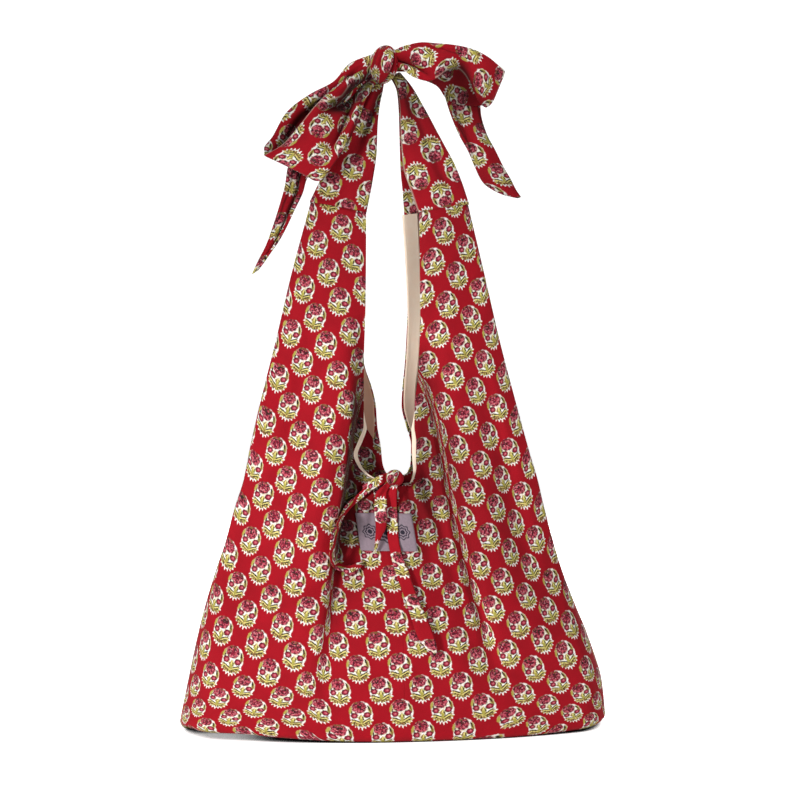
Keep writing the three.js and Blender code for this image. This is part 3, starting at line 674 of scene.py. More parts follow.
def sideRound(depth, reach, d):
    # Quarter round: depth at a distance d from the edge.
    left = 1 - np.minimum(d / reach, 1)
    return depth * np.sqrt(1 - left * left)


def bulge(middle, end, s):
    # Parabola from nothing at s = 0 through the middle depth to the end depth at s = 1.
    return 4 * middle * s * (1 - s) + end * s * (2 * s - 1)


def panelDepth(z, half, d):
    # Depth of a panel in front of the side seams, at a distance d from its outer edge.
    shape = body['outline']
    s = d / np.abs(shape[sides[half]](z) - body['centreX'])
    rounded = sideRound(shape['corner'](z), shape['reach'](z), d)
    return rounded + bulge(shape['middle'](z), shape['centre'](z), s)


def panelFace(panel, half, x, z, height, d):
    # y of a panel's outer face: the body's form less the folds and the soft ripples, which
    # both fade out at the side edge. Only the ripples go by the true height.
    soft = body['rippleSize'] * panel['ripples'](x, height * body['rippleStretch'])
    sunk = foldSink(panel['folds'], half, x, z) + soft * smoothStep(0, body['rippleTop'], z)
    sunk = np.minimum(1, d / body['edgeFade']) * sunk
    return panel['face'] * (panelDepth(z, half, d) - sunk + body['seamGap'])


def frontDepth(x, z):
    # y of the front panel's outer face at x and z, by the half that x lies in.
    faces = [panelFace(frontPanel, half, x, z, z, np.abs(x - body['outline'][side](z)))
             for half, side in sides.items()]
    return np.where(x < body['centreX'], *faces)


def panelPoints(panel, half, z, share):
    # Outer face of half a panel: x runs from the side edge to the rim by its share. Rows tilt
    # towards the slant of the arm seams.
    rim = panel['rims'][sides[half]](z)
    outer = body['outline'][sides[half]]
    d = share * np.abs(outer(z) - rim)
    rise = np.clip((z - body['slantStart']) / (body['armTop'] - body['slantStart']), 0, None)
    height = z + body['armSlant'] * (1 - share) * rise * rise
    x = between(outer(height), rim, share)
    return np.stack([x, panelFace(panel, half, x, z, height, d), height], -1)


def straightX(points, half, line):
    # x with the cloth's run in the folds added: each row's length less its plain width, summed
    # from the side edge, less the same sum at the line's x.
    step = np.diff(points, axis=1)
    extra = np.hypot(step[..., 0], step[..., 1]) - np.abs(step[..., 0])
    before = np.clip((line(points[:, :-1, 2]) - points[:, :-1, 0]) / step[..., 0], 0, 1)
    return points[..., 0] - half * (runningSum(extra, 1) - (extra * before).sum(axis=1, keepdims=True))


def straightZ(points, half):
    # z with the run of the body's slope added, summed upwards from the lowest row.
    z = points[..., 2]
    depth = panelDepth(z, half, np.abs(points[..., 0] - body['outline'][sides[half]](z)))
    rise, slope = np.diff(z, axis=0), np.diff(depth, axis=0)
    return z + runningSum(np.hypot(rise, slope) - rise, 0)


def panelCloth(panel, points, half):
    # Cloth coordinates of half a panel: nearly upright in the middle, and turned about the
    # fold's foot to lie along the side edge beyond the fold line. In the fold the two meet,
    # squeezed. The tuck grows to the floor as the power of 1.5, and the wrap fades as
    # exp(-distance / wrapReach).
    spec = panel['cloth']
    side = spec[sides[half]]
    z = points[..., 2]
    run = straightZ(points, half)
    low = np.clip(1 - z / drape['tuckHeight'], 0, 1) ** 1.5 * drape['tuck']
    inner = straightX(points, half, lambda z: half * drape['centreLine'] + 0 * z)
    edge = np.abs(points[..., 0] - points[:, :1, 0])
    wrapped = drape['wrap'] * np.exp(-edge / drape['wrapReach'])
    outer = straightX(points, half, drape[sides[half]]['x']) + half * wrapped
    middle = turned(inner, run * drape['slump'], spec['turn'])
    pivot = turned(side['foot'], drape['pivotZ'] * drape['slump'], spec['turn']) + np.array(side['slip'])
    beyond = turned(outer - side['foot'], run - low - drape['pivotZ'], -half * side['lean']) + pivot
    past = (points[..., 0] - side['line']['x'](z)) * half / side['line']['blend'](z)
    return between(middle, beyond, smoothStep(-1, 1, past)[..., None]) - np.array(spec['origin'])


def wallPoints(panel, half):
    # Rows from the hem to the arm's top, closer together above the rim's lowest point, and
    # columns closer together at the side edge and the rim.
    lower = np.linspace(body['hemRadius'], panel['rimZ'], body['lowerRows'], endpoint=False)
    rise = np.linspace(0, 1, body['upperRows']) ** body['upperEase']
    z = np.concatenate([lower, between(panel['rimZ'], body['armTop'], rise)])
    even = np.linspace(0, 1, body['halfColumns'])
    share = even - body['columnEase'] * np.sin(turnFull * even)
    return panelPoints(panel, half, *np.meshgrid(z, share, indexing='ij'))


def basePoints(panel, foot):
    # Half of the base from its middle seam out to the quarter round of the hem: the wall's
    # lowest row, drawn in to the seam, and by the round's inset in x and y.
    turns = np.linspace(0, np.pi / 2, body['hemRows'], endpoint=False)
    pulls = np.linspace(0, 1, body['baseRows'], endpoint=False)
    angle = np.concatenate([np.zeros(len(pulls)), turns])[:, None]
    pull = np.concatenate([pulls, np.ones(len(turns))])[:, None]
    inset = body['hemRadius'] * (1 - np.sin(angle))
    x = between(body['centreX'], foot[None, :, 0], 1 - inset / body['baseHalfWidth'])
    depth = (np.abs(foot[None, :, 1]) - body['seamGap']) * (1 - inset / body['baseHalfDepth'])
    y = panel['face'] * (depth * pull + body['seamGap'])
    z = body['hemRadius'] * (1 - np.cos(angle)) + 0 * x
    return np.stack([x, y, z], -1)


def panelGrid(panel, half):
    # Base and wall in one grid. The base's print goes on from the hem by its length. Last of
    # all, the bottom edge is drawn up off the floor.
    wall = wallPoints(panel, half)
    low = basePoints(panel, wall[0])
    points = np.concatenate([low, wall])
    cloth = np.concatenate([np.zeros(low.shape[:2] + (2,)), panelCloth(panel, wall, half)])
    steps = np.linalg.norm(np.diff(points[:len(low) + 1], axis=0), axis=-1)
    cloth[:len(low)] = cloth[len(low)]
    cloth[:len(low), :, 1] -= steps[::-1].cumsum(axis=0)[::-1]
    # Painted shade from the panel's shade troughs, up to deepest.
    paintedShade = np.clip(foldSink(panel['paintedShades'], half, points[..., 0], points[..., 2]), 0, body['deepest'])
    fade = np.clip(1 - points[..., 2] / body['drawnTop'], 0, 1) ** 2
    reached = np.clip(np.abs(points[..., 1]) / body['drawnReach'], 0, 1)
    points[..., 2] += body['drawn']['up'](points[..., 0]) * fade * reached
    return points, np.concatenate([cloth, paintedShade[..., None]], -1)


def makePanel(name, panel, node):
    grids = [panelGrid(panel, half) for half in sides]
    grids = [(p[:, ::-1], c[:, ::-1]) if half * panel['face'] < 0 else (p, c)
             for half, (p, c) in zip(sides, grids)]
    piece = gridObject(name, grids, printed)
    # The inner face takes the half-bright print: painted shade inside the bag.
    piece.data.materials.append(reverseInPaintedShade)
    solidify(piece, body['thick']).material_offset = 1
    dress(piece, [node], body['flat'],
          body['area'])


makePanel('front_cloth', frontPanel, 'front_panel')
makePanel('back_cloth', backPanel, 'back_panel')
print('body panels made')

# Facing strips, sewn inside the rims. low is the height of the lower end, width the strip's
# width by height, peep how far it stands past the rim and deep how much painted shade darkens
# it by height, as if it lay deep in the bag.
facings = {
    'thick': 0.8, 'rows': 120, 'columns': 9, 'behind': 1.35, 'clothWidth': 13.5,
    'flat': (0.014, 0.25),
    'front': {'panel': frontPanel, 'low': 226,
              'width': curves('z w', [(226, 5), (262, 6), (284, 9), (300, 13.5), (480, 13.5)]),
              'peep': curves('z p', [(226, 1.6), (238, 2.8), (252, 3.8), (264, 4), (276, 3.2),
                                     (286, 1.2), (296, 0), (480, -0.6)])},
    'back': {'panel': backPanel, 'low': 262,
             'width': curves('z w', [(262, 2), (272, 7), (284, 12), (300, 13.5), (480, 13.5)]),
             'peep': curves('z p', [(262, -6), (284, -2), (300, -1.6), (330, -0.8), (370, -0.4),
                                    (415, 1.2), (480, 2.6)]),
             'deep': {
                 'left': curves('z deep', [(262, 0.75), (330, 0.7), (365, 0.4), (420, 0.1), (480, 0)]),
                 'right': curves('z deep', [(262, 0.5), (300, 0.3), (340, 0.12), (400, 0), (480, 0)])}},
}


def makeFacing(name, layer, half, node):
    # The rim part of the panel's grid, moved behind its inner face along its normals, which
    # are turned so that on the whole they face outwards.
    spec = facings[layer]
    panel, side = spec['panel'], sides[half]
    z = np.linspace(spec['low'], body['armTop'], facings['rows'])
    width = np.abs(body['outline'][side](z) - panel['rims'][side](z))
    across = np.linspace(0, 1, facings['columns'])
    inner = 1 - spec['width']['w'](z) / width
    outer = 1 + spec['peep']['p'](z) / width
    share = between(inner[:, None], outer[:, None], across)
    points = panelPoints(panel, half, np.broadcast_to(z[:, None], share.shape), share)
    normal = normalsOf(points)
    normal = normal * np.sign(normal[..., 1].mean()) * panel['face']
    points = points - normal * facings['behind']
    # painted shade along the strip, by height
    deep = spec['deep'][side]['deep'](z) if 'deep' in spec else 0 * z
    columns = [across * facings['clothWidth'], runLength(points)[:, None], deep[:, None]]
    cloth = np.stack(np.broadcast_arrays(*columns), -1)
    piece = gridObject(name, [(points, cloth)], facingCotton, flip=half * panel['face'] > 0)
    solidify(piece, facings['thick'])
    dress(piece, [node], facings['flat'])


for layer in ('front', 'back'):
    for half, side in sides.items():
        makeFacing(f'facing_strip_{layer}_{side}', layer, half, f'facing_{layer}_{side}')
print('facings made')

# Straps: doubled cloth folded round its outer edge and open towards the other strap, a row
# for each section from the arm seam to the knot. turn is 1 where the print stands upright and
# -1 where it hangs, lean its slant in degrees and start its place in the print. dim is the
# painted shade by section, and deep how deep a pleat is that gets the full painted shade.
strapColumns = 'outerX outerZ openZ frontX backX middle rim'
pleatColumns = 'step s near far sink'
dimColumns = 'step dim'
straps = {
    'thick': 1.5, 'sideRound': 3, 'roundShare': 0.2, 'rows': 120, 'columns': 81, 'columnEase': 1.4,
    'endFade': 0.01, 'lap': -1.6, 'flare': 1.9, 'flareEnd': 0.22, 'flareShare': 0.06,
    'deep': 7, 'deepest': 0.72, 'edgingFrom': 0.99, 'flat': (0.1, 0.16), 'area': 0.0095,
    'left': {
        'turn': 1, 'lean': 12, 'start': (18, 40), 'edging': 0,
        'table': sections(strapColumns, [
            (-79, 491, 481, -27, -35, 7.8, 8.2), (-68, 512, 509, -21, -27, 7, 6.5),
            (-57, 533, 537, -17, -21, 6, 5), (-46, 557, 561, -16, -18, 5, 4),
            (-35, 577, 580, -14, -14, 3.5, 3), (-27, 595, 594, -11, -11, 2.2, 1.8),
            (-18, 608, 607, -9, -9, 1.6, 1.4)]),
        'dim': curves(dimColumns, [(0, 0.17), (1.6, 0.17), (3, 0.3), (4.2, 0.5), (6, 0.65)]),
        'folds': curveSets(pleatColumns, [
            [(1.5, 0.5, 5, 5, 0), (2.6, 0.6, 4, 4, 2.5), (3.5, 0.72, 3, 3, 4),
             (4.6, 0.86, 2.5, 2.5, 2), (5.6, 0.9, 2, 2, 0)],
            [(2, 0.25, 4, 4, 0), (3, 0.3, 3, 4, -2.5), (4.2, 0.4, 3, 3, -2.5), (5.6, 0.5, 2, 2, 0)],
        ])},
    'right': {
        'turn': -1, 'lean': -13, 'start': (27, 19), 'edging': 1,
        'table': sections(strapColumns, [
            (71, 491, 481, 22, 11, 7.8, 8.2), (64, 510, 503, 14, 9, 7, 6.5),
            (57, 527, 522, 8, 7, 6, 5), (45, 549, 547, 6, 6, 5, 4), (28, 580, 577, 5, 5, 3.5, 3),
            (16, 600, 596, 3, 3, 2.2, 1.8), (5, 613, 609, -3, -3, 1.6, 1.4)]),
        'dim': curves(dimColumns, [(0, 0.1), (1.5, 0.1), (3, 0.16), (4.2, 0.5), (6, 0.7)]),
        'folds': curveSets(pleatColumns, [
            [(0.3, 0.3, 5, 5, 0), (1.5, 0.35, 4, 5, 2), (3, 0.4, 3.5, 4, 2), (4.6, 0.5, 3, 3, 0)],
            [(3, 0.7, 3, 3, 0), (4, 0.6, 3, 3, 2.2), (5.4, 0.5, 2, 2, 0)],
        ])},
}


def pleats(folds, t, s, width):
    # Sum of bell shaped troughs in the distance across from each fold's line, wider or
    # narrower on its two sides.
    total = 0
    for fold in folds:
        away = (s - fold['s'](t)) * width
        total = total + fold['sink'](t) * gauss(away / np.where(away < 0, fold['near'](t), fold['far'](t)))
    return total


def strapGrid(spec):
    # Section: from the front's open edge round the outer edge to the back's open edge, pleated
    # on the front. It flares at its lower end, where it is sewn over the arm. The print lies
    # along the strap's lean, and at the outer edge it turns back on itself.
    table = spec['table']
    t = np.linspace(0, table['last'], straps['rows'])[:, None]
    across = np.linspace(-1, 1, straps['columns'])[None, :]
    across = np.sign(across) * np.abs(across) ** straps['columnEase']
    face, s = np.sign(across), np.abs(across)
    openX = np.where(face < 0, table['frontX'](t), table['backX'](t))
    outer = table['outerX'](t)
    width = np.abs(outer - openX)
    sunk = np.where(face < 0, pleats(spec['folds'], t, s, width), 0)
    reach = np.minimum(straps['sideRound'], width * straps['roundShare'])
    flare = straps['flare'] * (1 - smoothStep(0, straps['flareEnd'], t))
    depth = sideRound(straps['sideRound'], reach, s * width) + bulge(table['middle'](t), table['rim'](t), s)
    depth = depth - sunk + flare * smoothStep(0, straps['flareShare'], s)
    y = face * (depth + body['seamGap'] - straps['thick'] / 2)
    z = between(table['outerZ'](t), table['openZ'](t), s) + straps['lap'] * (1 - smoothStep(0, 1, t))
    points = np.stack([between(outer, openX, s), y, z], -1)
    flat = turned(spec['turn'] * points[..., 0], spec['turn'] * points[..., 2], spec['lean'])
    middle = flat.shape[1] // 2
    flat[..., 0] = np.where(face > 0, 2 * flat[:, middle:middle + 1, 0] - flat[..., 0], flat[..., 0])
    # painted shade of the pleats and of the dim, up to deepest
    paintedShade = np.clip(sunk / straps['deep'] + spec['dim']['dim'](t), 0, straps['deepest'])
    pale = spec['edging'] * (face < 0) * (s > straps['edgingFrom']) + 0 * t
    return points, np.concatenate([flat + np.array(spec['start']), np.stack([paintedShade, pale], -1)], -1)


def makeStrap(name, spec, node):
    piece = gridObject(name, doubled(*strapGrid(spec), straps['thick'], straps['endFade']), printed)
    dress(piece, [node], straps['flat'], straps['area'])


makeStrap('strap_cloth_left', straps['left'], 'strap_left')
makeStrap('strap_cloth_right', straps['right'], 'strap_right')
print('straps made')

# Bow: each loop and tail is a band of doubled cloth, a row for each section from the knot
# outwards, with both edges and the depth. roll is how far the edges turn back, edging the line
# of a cut edge that shows pale, and dim the painted shade in the knot's shelter and inside the
# loops. Creases are lines of painted shade.
bandColumns = 'aX aZ bX bZ y'
creaseColumns = 'step s wide dark'
bow = {
    'thick': 1.7, 'endFade': 0.06, 'deep': 20, 'deepest': 0.8, 'creaseFade': 0.3,
    'edgingPale': 0.8, 'edgingWide': 0.6,
    'loopLeft': {
        'turn': 1, 'lean': 5, 'rows': 210, 'columns': 81, 'roll': 3,
        'flat': (0.055, 0.26), 'area': 0.0105,
        'start': (20, 16), 'table': sections(bandColumns, [
            (-15, 605, -15, 625, -6), (-21, 596, -35, 610, -12), (-29, 581, -48, 602, -17),
            (-35, 564, -62, 590, -22), (-43, 546, -76, 575, -26), (-52, 531, -90, 557, -28),
            (-61, 518, -106, 539, -27), (-71, 507, -122, 530, -22), (-76, 510, -122, 538, -12),
            (-68, 529, -114, 550, -8), (-61, 546, -101, 573, -6), (-50, 563, -80, 590, -5),
            (-40, 580, -57, 603, -5), (-29, 597, -42, 620, -5), (-16, 613, -19, 630, -4)]),
        'edging': curves('step s', [(2, 0.76), (2.7, 0.71), (3.3, 0.84), (3.9, 0.99), (7, 1)]),
        'creases': curveSets(creaseColumns, [
            [(0.6, 0.3, 2, 0.75), (2.3, 0.14, 1.7, 0.8), (2.9, 0.09, 1.5, 0.8),
             (3.7, 0.05, 1.4, 0.8), (4.6, 0.03, 1.2, 0.6)],
            [(1.3, 0.74, 2, 0.7), (2.7, 0.65, 2.2, 0.8), (3.3, 0.78, 2.2, 0.75), (4, 0.94, 1.5, 0.4)],
            [(0.3, 0.46, 6, 0.7), (1.2, 0.47, 8, 0.75), (2.1, 0.5, 9, 0.72), (2.9, 0.55, 9, 0.6),
             (3.5, 0.64, 7, 0.4), (4.2, 0.7, 5, 0.1)],
            [(9, 0.74, 3, 0.45), (10.6, 0.74, 3.2, 0.7), (11.3, 0.72, 3.4, 0.8),
             (12, 0.7, 3.4, 0.8), (13.1, 0.5, 3.4, 0.7)],
            [(3.6, 0, 1.4, 0.5), (5, 0, 1.4, 0.6), (6.4, 0, 1.2, 0.4)],
        ]),
        'dim': curves(dimColumns, [(0, 0.4), (1.2, 0.12), (2, 0), (7.2, 0), (8.5, 0.3), (10, 0.1),
                                   (11, 0)]),
        'folds': curveSets(pleatColumns, [
            # the deep pocket under the lip
            [(0.3, 0.42, 3, 3, 2), (1, 0.47, 3, 3, 10), (2, 0.55, 4.5, 3, 17), (3, 0.6, 8, 3, 17),
             (3.7, 0.74, 10, 3, 9), (4.8, 0.85, 10, 4, 0)],
            # the lip
            [(0.5, 0.8, 3, 3, 0), (1.2, 0.84, 3, 3, -3), (2.5, 0.88, 3.5, 3, -4),
             (3.6, 0.95, 3, 2, -3), (5, 1, 3, 2, 0)],
            # pleat along the lower edge, and the valley beside it
            [(0.4, 0.2, 3, 2, 0), (1.2, 0.17, 3, 2.5, -4), (2.5, 0.14, 4, 2.5, -6),
             (4, 0.12, 5, 2.5, -5), (5.8, 0.1, 5, 5, 0)],
            [(1.5, 0.32, 2, 4, 0), (2.5, 0.3, 2, 4, 8), (3.5, 0.28, 2.4, 5, 10),
             (4.6, 0.24, 3, 6, 7), (6, 0.2, 5, 8, 0)],
            # the full front of the loop
            [(2.5, 0.7, 10, 8, 0), (4, 0.62, 14, 12, -4), (5.5, 0.55, 18, 16, -7),
             (6.5, 0.5, 20, 18, -4), (7.2, 0.5, 20, 20, 0)],
            # the groove behind the lip
            [(7.6, 0.8, 6, 5, 0), (9, 0.74, 7, 5, 6), (11, 0.66, 7, 5, 8), (12.4, 0.6, 5, 4, 5),
             (13.6, 0.6, 4, 4, 0)],
        ])},
    'loopRight': {
        'turn': -1, 'lean': -8, 'rows': 210, 'columns': 81, 'roll': 2.5,
        'flat': (0.055, 0.22), 'area': 0.009,
        'start': (2, 34), 'table': sections(bandColumns, [
            (-3, 631, 0, 618, -8), (5, 634, 8, 612, -15), (14, 636, 17, 605, -20),
            (24, 637, 29, 601, -24), (36, 636, 37, 603, -26), (47, 635, 45, 609, -27),
            (60, 633, 57, 613, -28), (72, 630, 66, 605, -29), (84, 625, 72, 592, -27),
            (94, 619, 77, 583, -23), (103, 613, 85, 579, -16), (102, 610, 92, 585, -8),
            (91, 621, 79, 583, -2), (72, 627, 64, 584, 0), (53, 628, 50, 590, 0),
            (34, 627, 41, 601, -1), (13, 628, 18, 610, -3), (-1, 629, 3, 619, -4)]),
        'edging': curves('step s', [(3.9, 0.95), (5.5, 0.9), (6.6, 0.92), (7.2, 0.96), (7.8, 1)]),
        'creases': curveSets(creaseColumns, [
            [(0.2, 0.58, 1.4, 0.6), (1.5, 0.61, 1.4, 0.7), (2.3, 0.73, 1.3, 0.6),
             (3.3, 0.84, 1.2, 0.3)],
            [(0.6, 0.16, 1, 0.3), (2.2, 0.09, 1, 0.3), (3.3, 0.12, 1, 0.35), (4.5, 0.16, 1, 0.4),
             (5.3, 0.34, 1, 0.4), (6.3, 0.46, 1, 0.3)],
            [(4.6, 1.02, 3, 0.4), (5.6, 1, 3.4, 0.65), (6.6, 1, 3.2, 0.65), (7.6, 1.04, 3, 0.5)],
            [(5.8, 0.66, 3, 0.2), (6.9, 0.88, 3, 0.35), (7.9, 1, 3, 0.4)],
            [(7.4, 0.98, 6, 0.3), (8.2, 1, 8, 0.5), (9, 1, 7, 0.5), (9.9, 1, 4, 0.3)],
        ]),
        'dim': curves(dimColumns, [(0, 0.3), (0.8, 0), (9.6, 0.05), (11, 0.3), (12.5, 0.62), (17, 0.62)]),
        'folds': curveSets(pleatColumns, [
            # the crease out of the knot
            [(0.2, 0.6, 2.5, 2.5, 3), (1, 0.62, 3, 3, 6.5), (2, 0.63, 3, 3, 6.5),
             (2.8, 0.75, 3.5, 3, 4), (3.6, 0.95, 4, 3, 0)],
            [(0.5, 0.3, 4, 4, 0), (2, 0.35, 6, 6, -4), (4, 0.45, 8, 8, -4), (6, 0.4, 8, 6, -3),
             (8, 0.4, 8, 8, 0)],
            # the top's ridge
            [(3, 0.14, 3, 4, 0), (4.5, 0.22, 3, 4, 3), (6.5, 0.3, 3, 4, 3.5), (8, 0.36, 3, 4, 0)],
            # the mouth of the loop curls in
            [(4, 1, 6, 3, 0), (5, 1, 8, 3, 7), (6.3, 1, 8, 3, 9), (7.3, 1, 6, 3, 6),
             (8.5, 1, 4, 3, 0)],
            [(7, 0.6, 10, 10, 0), (8.5, 0.6, 14, 12, -5), (9.6, 0.5, 14, 12, 0)],
        ])},
    'tailLeft': {
        'turn': -1, 'lean': 0, 'rows': 120, 'columns': 41, 'roll': 2,
        'flat': (0.04, 0.23), 'area': 0.0048,
        'start': (21, 23), 'table': sections(bandColumns, [
            (-16, 610, -19, 621, 6), (-37, 586, -46, 597, 6), (-59, 546, -78, 558, 6),
            (-82, 511, -100, 521, 5), (-85, 500, -102, 507, 4), (-93, 483, -108, 485, 3),
            (-99, 470, -114, 466, 2), (-107, 455, -120, 449, 2), (-116, 442, -127, 435, 2),
            (-127, 426, -133, 422, 2)]),
        'dim': curves(dimColumns, [(0, 0.6), (2.4, 0.6), (3.6, 0.18), (9, 0.1)]),
        'creases': curveSets(creaseColumns, [
            [(2.6, 0.42, 1.2, 0.7), (4, 0.4, 1.2, 0.8), (6, 0.42, 1.2, 0.7), (9, 0.5, 0.8, 0.5)],
            [(2.6, 0.7, 0.9, 0.5), (4, 0.74, 0.9, 0.6), (6.4, 0.8, 0.8, 0.4)],
        ]),
        'folds': curveSets(pleatColumns, [
            [(2, 0.35, 2, 2.5, 0), (3, 0.33, 2, 2.5, 5), (5, 0.28, 2, 2.5, 5), (7, 0.35, 2, 2.5, 4),
             (9, 0.4, 2, 2, 0)],
        ])},
    'tailRight': {
        'turn': -1, 'lean': 6, 'rows': 130, 'columns': 51, 'roll': 2,
        'flat': (0.05, 0.21), 'area': 0.0062,
        'start': (13, 36), 'table': sections(bandColumns, [
            (-3, 628, -3, 615, 6), (22, 633, 20, 616, 8), (48, 631, 40, 608, 9),
            (74, 618, 49, 597, 9), (83, 600, 50, 592, 8), (84, 578, 54, 578, 6),
            (89, 558, 62, 557, 3), (97, 542, 71, 540, 1), (104, 527, 77, 525, -1),
            (112, 513, 85, 510, -2), (117, 503, 102, 500, -2), (121, 497, 118, 496, -2)]),
        'dim': curves(dimColumns, [(0, 0.6), (3.6, 0.6), (5, 0.46), (7, 0.32), (9.5, 0.34), (11, 0.36)]),
        'creases': curveSets(creaseColumns, [
            [(4.4, 0.1, 1, 0.4), (5.6, 0.06, 1, 0.4), (7, 0.03, 1, 0.3)],
            [(5.4, 0.9, 0.8, 0.5), (6.4, 0.86, 0.8, 0.5), (7.4, 0.94, 0.8, 0.4)],
        ]),
        'folds': curveSets(pleatColumns, [
            [(4.5, 0.84, 2, 2, 0), (5, 0.84, 1.6, 1.6, 2.5), (6, 0.76, 1.6, 1.6, 2.5),
             (7, 0.9, 2, 2, 0)],
            [(4, 0.4, 6, 6, -2), (7, 0.5, 6, 6, -3), (10, 0.5, 5, 5, -1)],
        ])},
}


def bandPoints(spec):
    # Straight across from edge a to edge b of each section, with its pleats, and with edges
    # that turn back as the fourth power of the way out from the middle. Painted shade darkens it
    # in its pleats and along its creases, which fade out at their ends.
    table = spec['table']
    t = np.linspace(0, table['last'], spec['rows'])[:, None]
    s = np.linspace(0, 1, spec['columns'])[None, :]
    x = between(table['aX'](t), table['bX'](t), s)
    z = between(table['aZ'](t), table['bZ'](t), s)
    width = np.hypot(table['bX'](t) - table['aX'](t), table['bZ'](t) - table['aZ'](t))
    sunk = pleats(spec['folds'], t, s, width)
    points = np.stack([x, table['y'](t) + sunk + spec['roll'] * (2 * s - 1) ** 4, z], -1)
    dark = sunk / bow['deep'] + spec['dim']['dim'](t)
    for crease in spec['creases']:
        there = smoothStep(0, bow['creaseFade'], t - crease['first'])
        there = there * smoothStep(0, bow['creaseFade'], crease['last'] - t)
        dark = dark + crease['dark'](t) * there * gauss((s - crease['s'](t)) * width / crease['wide'](t))
    pale = 0 * sunk
    if 'edging' in spec:
        there = (t > spec['edging']['first']) & (t < spec['edging']['last'])
        away = (s - spec['edging']['s'](t)) * width
        pale = bow['edgingPale'] * there * gauss(away / bow['edgingWide'])
    return points, np.stack([np.clip(dark, 0, bow['deepest']), pale], -1)


def bandCloth(spec, points):
    # Across by the length of each row from the middle column, along by that column's length,
    # both turned by the lean.
    across = runningSum(np.linalg.norm(np.diff(points, axis=1), axis=-1), 1)
    middle = points.shape[1] // 2
    across = across - across[:, middle:middle + 1]
    along = runLength(points)[:, None] + 0 * across
    return turned(spec['turn'] * across, spec['turn'] * along, spec['lean']) + np.array(spec['start'])


def makeBand(name, spec, node):
    points, look = bandPoints(spec)
    cloth = np.concatenate([bandCloth(spec, points), look], -1)
    piece = gridObject(name, doubled(points, cloth, bow['thick'], bow['endFade']), printed)
    dress(piece, [node], spec['flat'], spec['area'])


makeBand('bow_cloth_loop_left', bow['loopLeft'], 'bow_loop_left')
makeBand('bow_cloth_loop_right', bow['loopRight'], 'bow_loop_right')
makeBand('bow_cloth_tail_left', bow['tailLeft'], 'bow_tail_left')
makeBand('bow_cloth_tail_right', bow['tailRight'], 'bow_tail_right')
print('bow made')

# Knots: an egg of wrapped cloth. Its radius rises and falls round it as a sum of bell shaped
# pleats, full at the waist and fading to the two ends. A pleat is its angle in radians, from
# +x towards the back, its width and its rise. dim is the painted shade on the knot's
# underside, and dark how much painted shade a pleat gets for its depth, as far as darkest.
knots = {
    'rows': 61, 'columns': 161, 'squeeze': 1.5, 'dark': 2.4, 'darkest': 0.75, 'fill': 0.9,
    'bow': {'x': -10, 'y': -4, 'z': 619, 'halfX': 13.4, 'halfY': 14.4, 'halfZ': 18.4, 'lean': 0.25,
            'pleats': [(-2.5, 0.16, -0.1), (-2.0, 0.1, -0.12), (-1.4, 0.3, 0.06), (-0.85, 0.1, -0.34),
                       (-0.5, 0.12, -0.1), (0.6, 0.2, -0.15), (2.2, 0.2, -0.15)],
            'start': (-27, 3), 'dim': 0.25},
    'tie': {'x': -2, 'y': -27, 'z': 233, 'halfX': 8.3, 'halfY': 6.8, 'halfZ': 7.8, 'lean': 0.5,
            'pleats': [(-2.0, 0.2, -0.2), (-1.3, 0.2, -0.2), (1.2, 0.3, -0.15)],
            'start': (9, 3), 'dim': 0.3},
}


def makeKnot(name, k, node):
    rise = np.linspace(-np.pi / 2, np.pi / 2, knots['rows'])[:, None]
    around = np.linspace(-np.pi, np.pi, knots['columns'])[None, :]
    swell = 0
    for place, wide, size in k['pleats']:
        away = (around - place + np.pi) % turnFull - np.pi
        swell = swell + size * gauss(away / wide) * np.cos(rise)
    # painted shade in the sunken pleats and on the underside
    paintedShade = np.clip(-swell * knots['dark'], 0, knots['darkest']) + k['dim'] * np.clip(-np.sin(rise), 0, 1)
    x = k['halfX'] * (1 + swell) * np.cos(rise) * np.cos(around)
    y = k['halfY'] * (1 + swell) * np.cos(rise) * np.sin(around)
    z = k['halfZ'] * np.sin(rise) + 0 * around
    c, s = math.cos(k['lean']), math.sin(k['lean'])
    points = np.stack([k['x'] + c * x + s * z, k['y'] + y, k['z'] - s * x + c * z], -1)
    across = k['start'][0] - around * k['halfX'] * knots['squeeze']
    up = k['start'][1] - rise * k['halfZ']
    cloth = np.stack(np.broadcast_arrays(across, up, paintedShade), -1)
    piece = gridObject(name, [(points, cloth)], printed)
    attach(piece, 'root')
    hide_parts(node)


makeKnot('bow_cloth_knot', knots['bow'], 'bow_knot')
makeKnot('tie_cloth_knot', knots['tie'], 'tie_knot')
print('knots made')

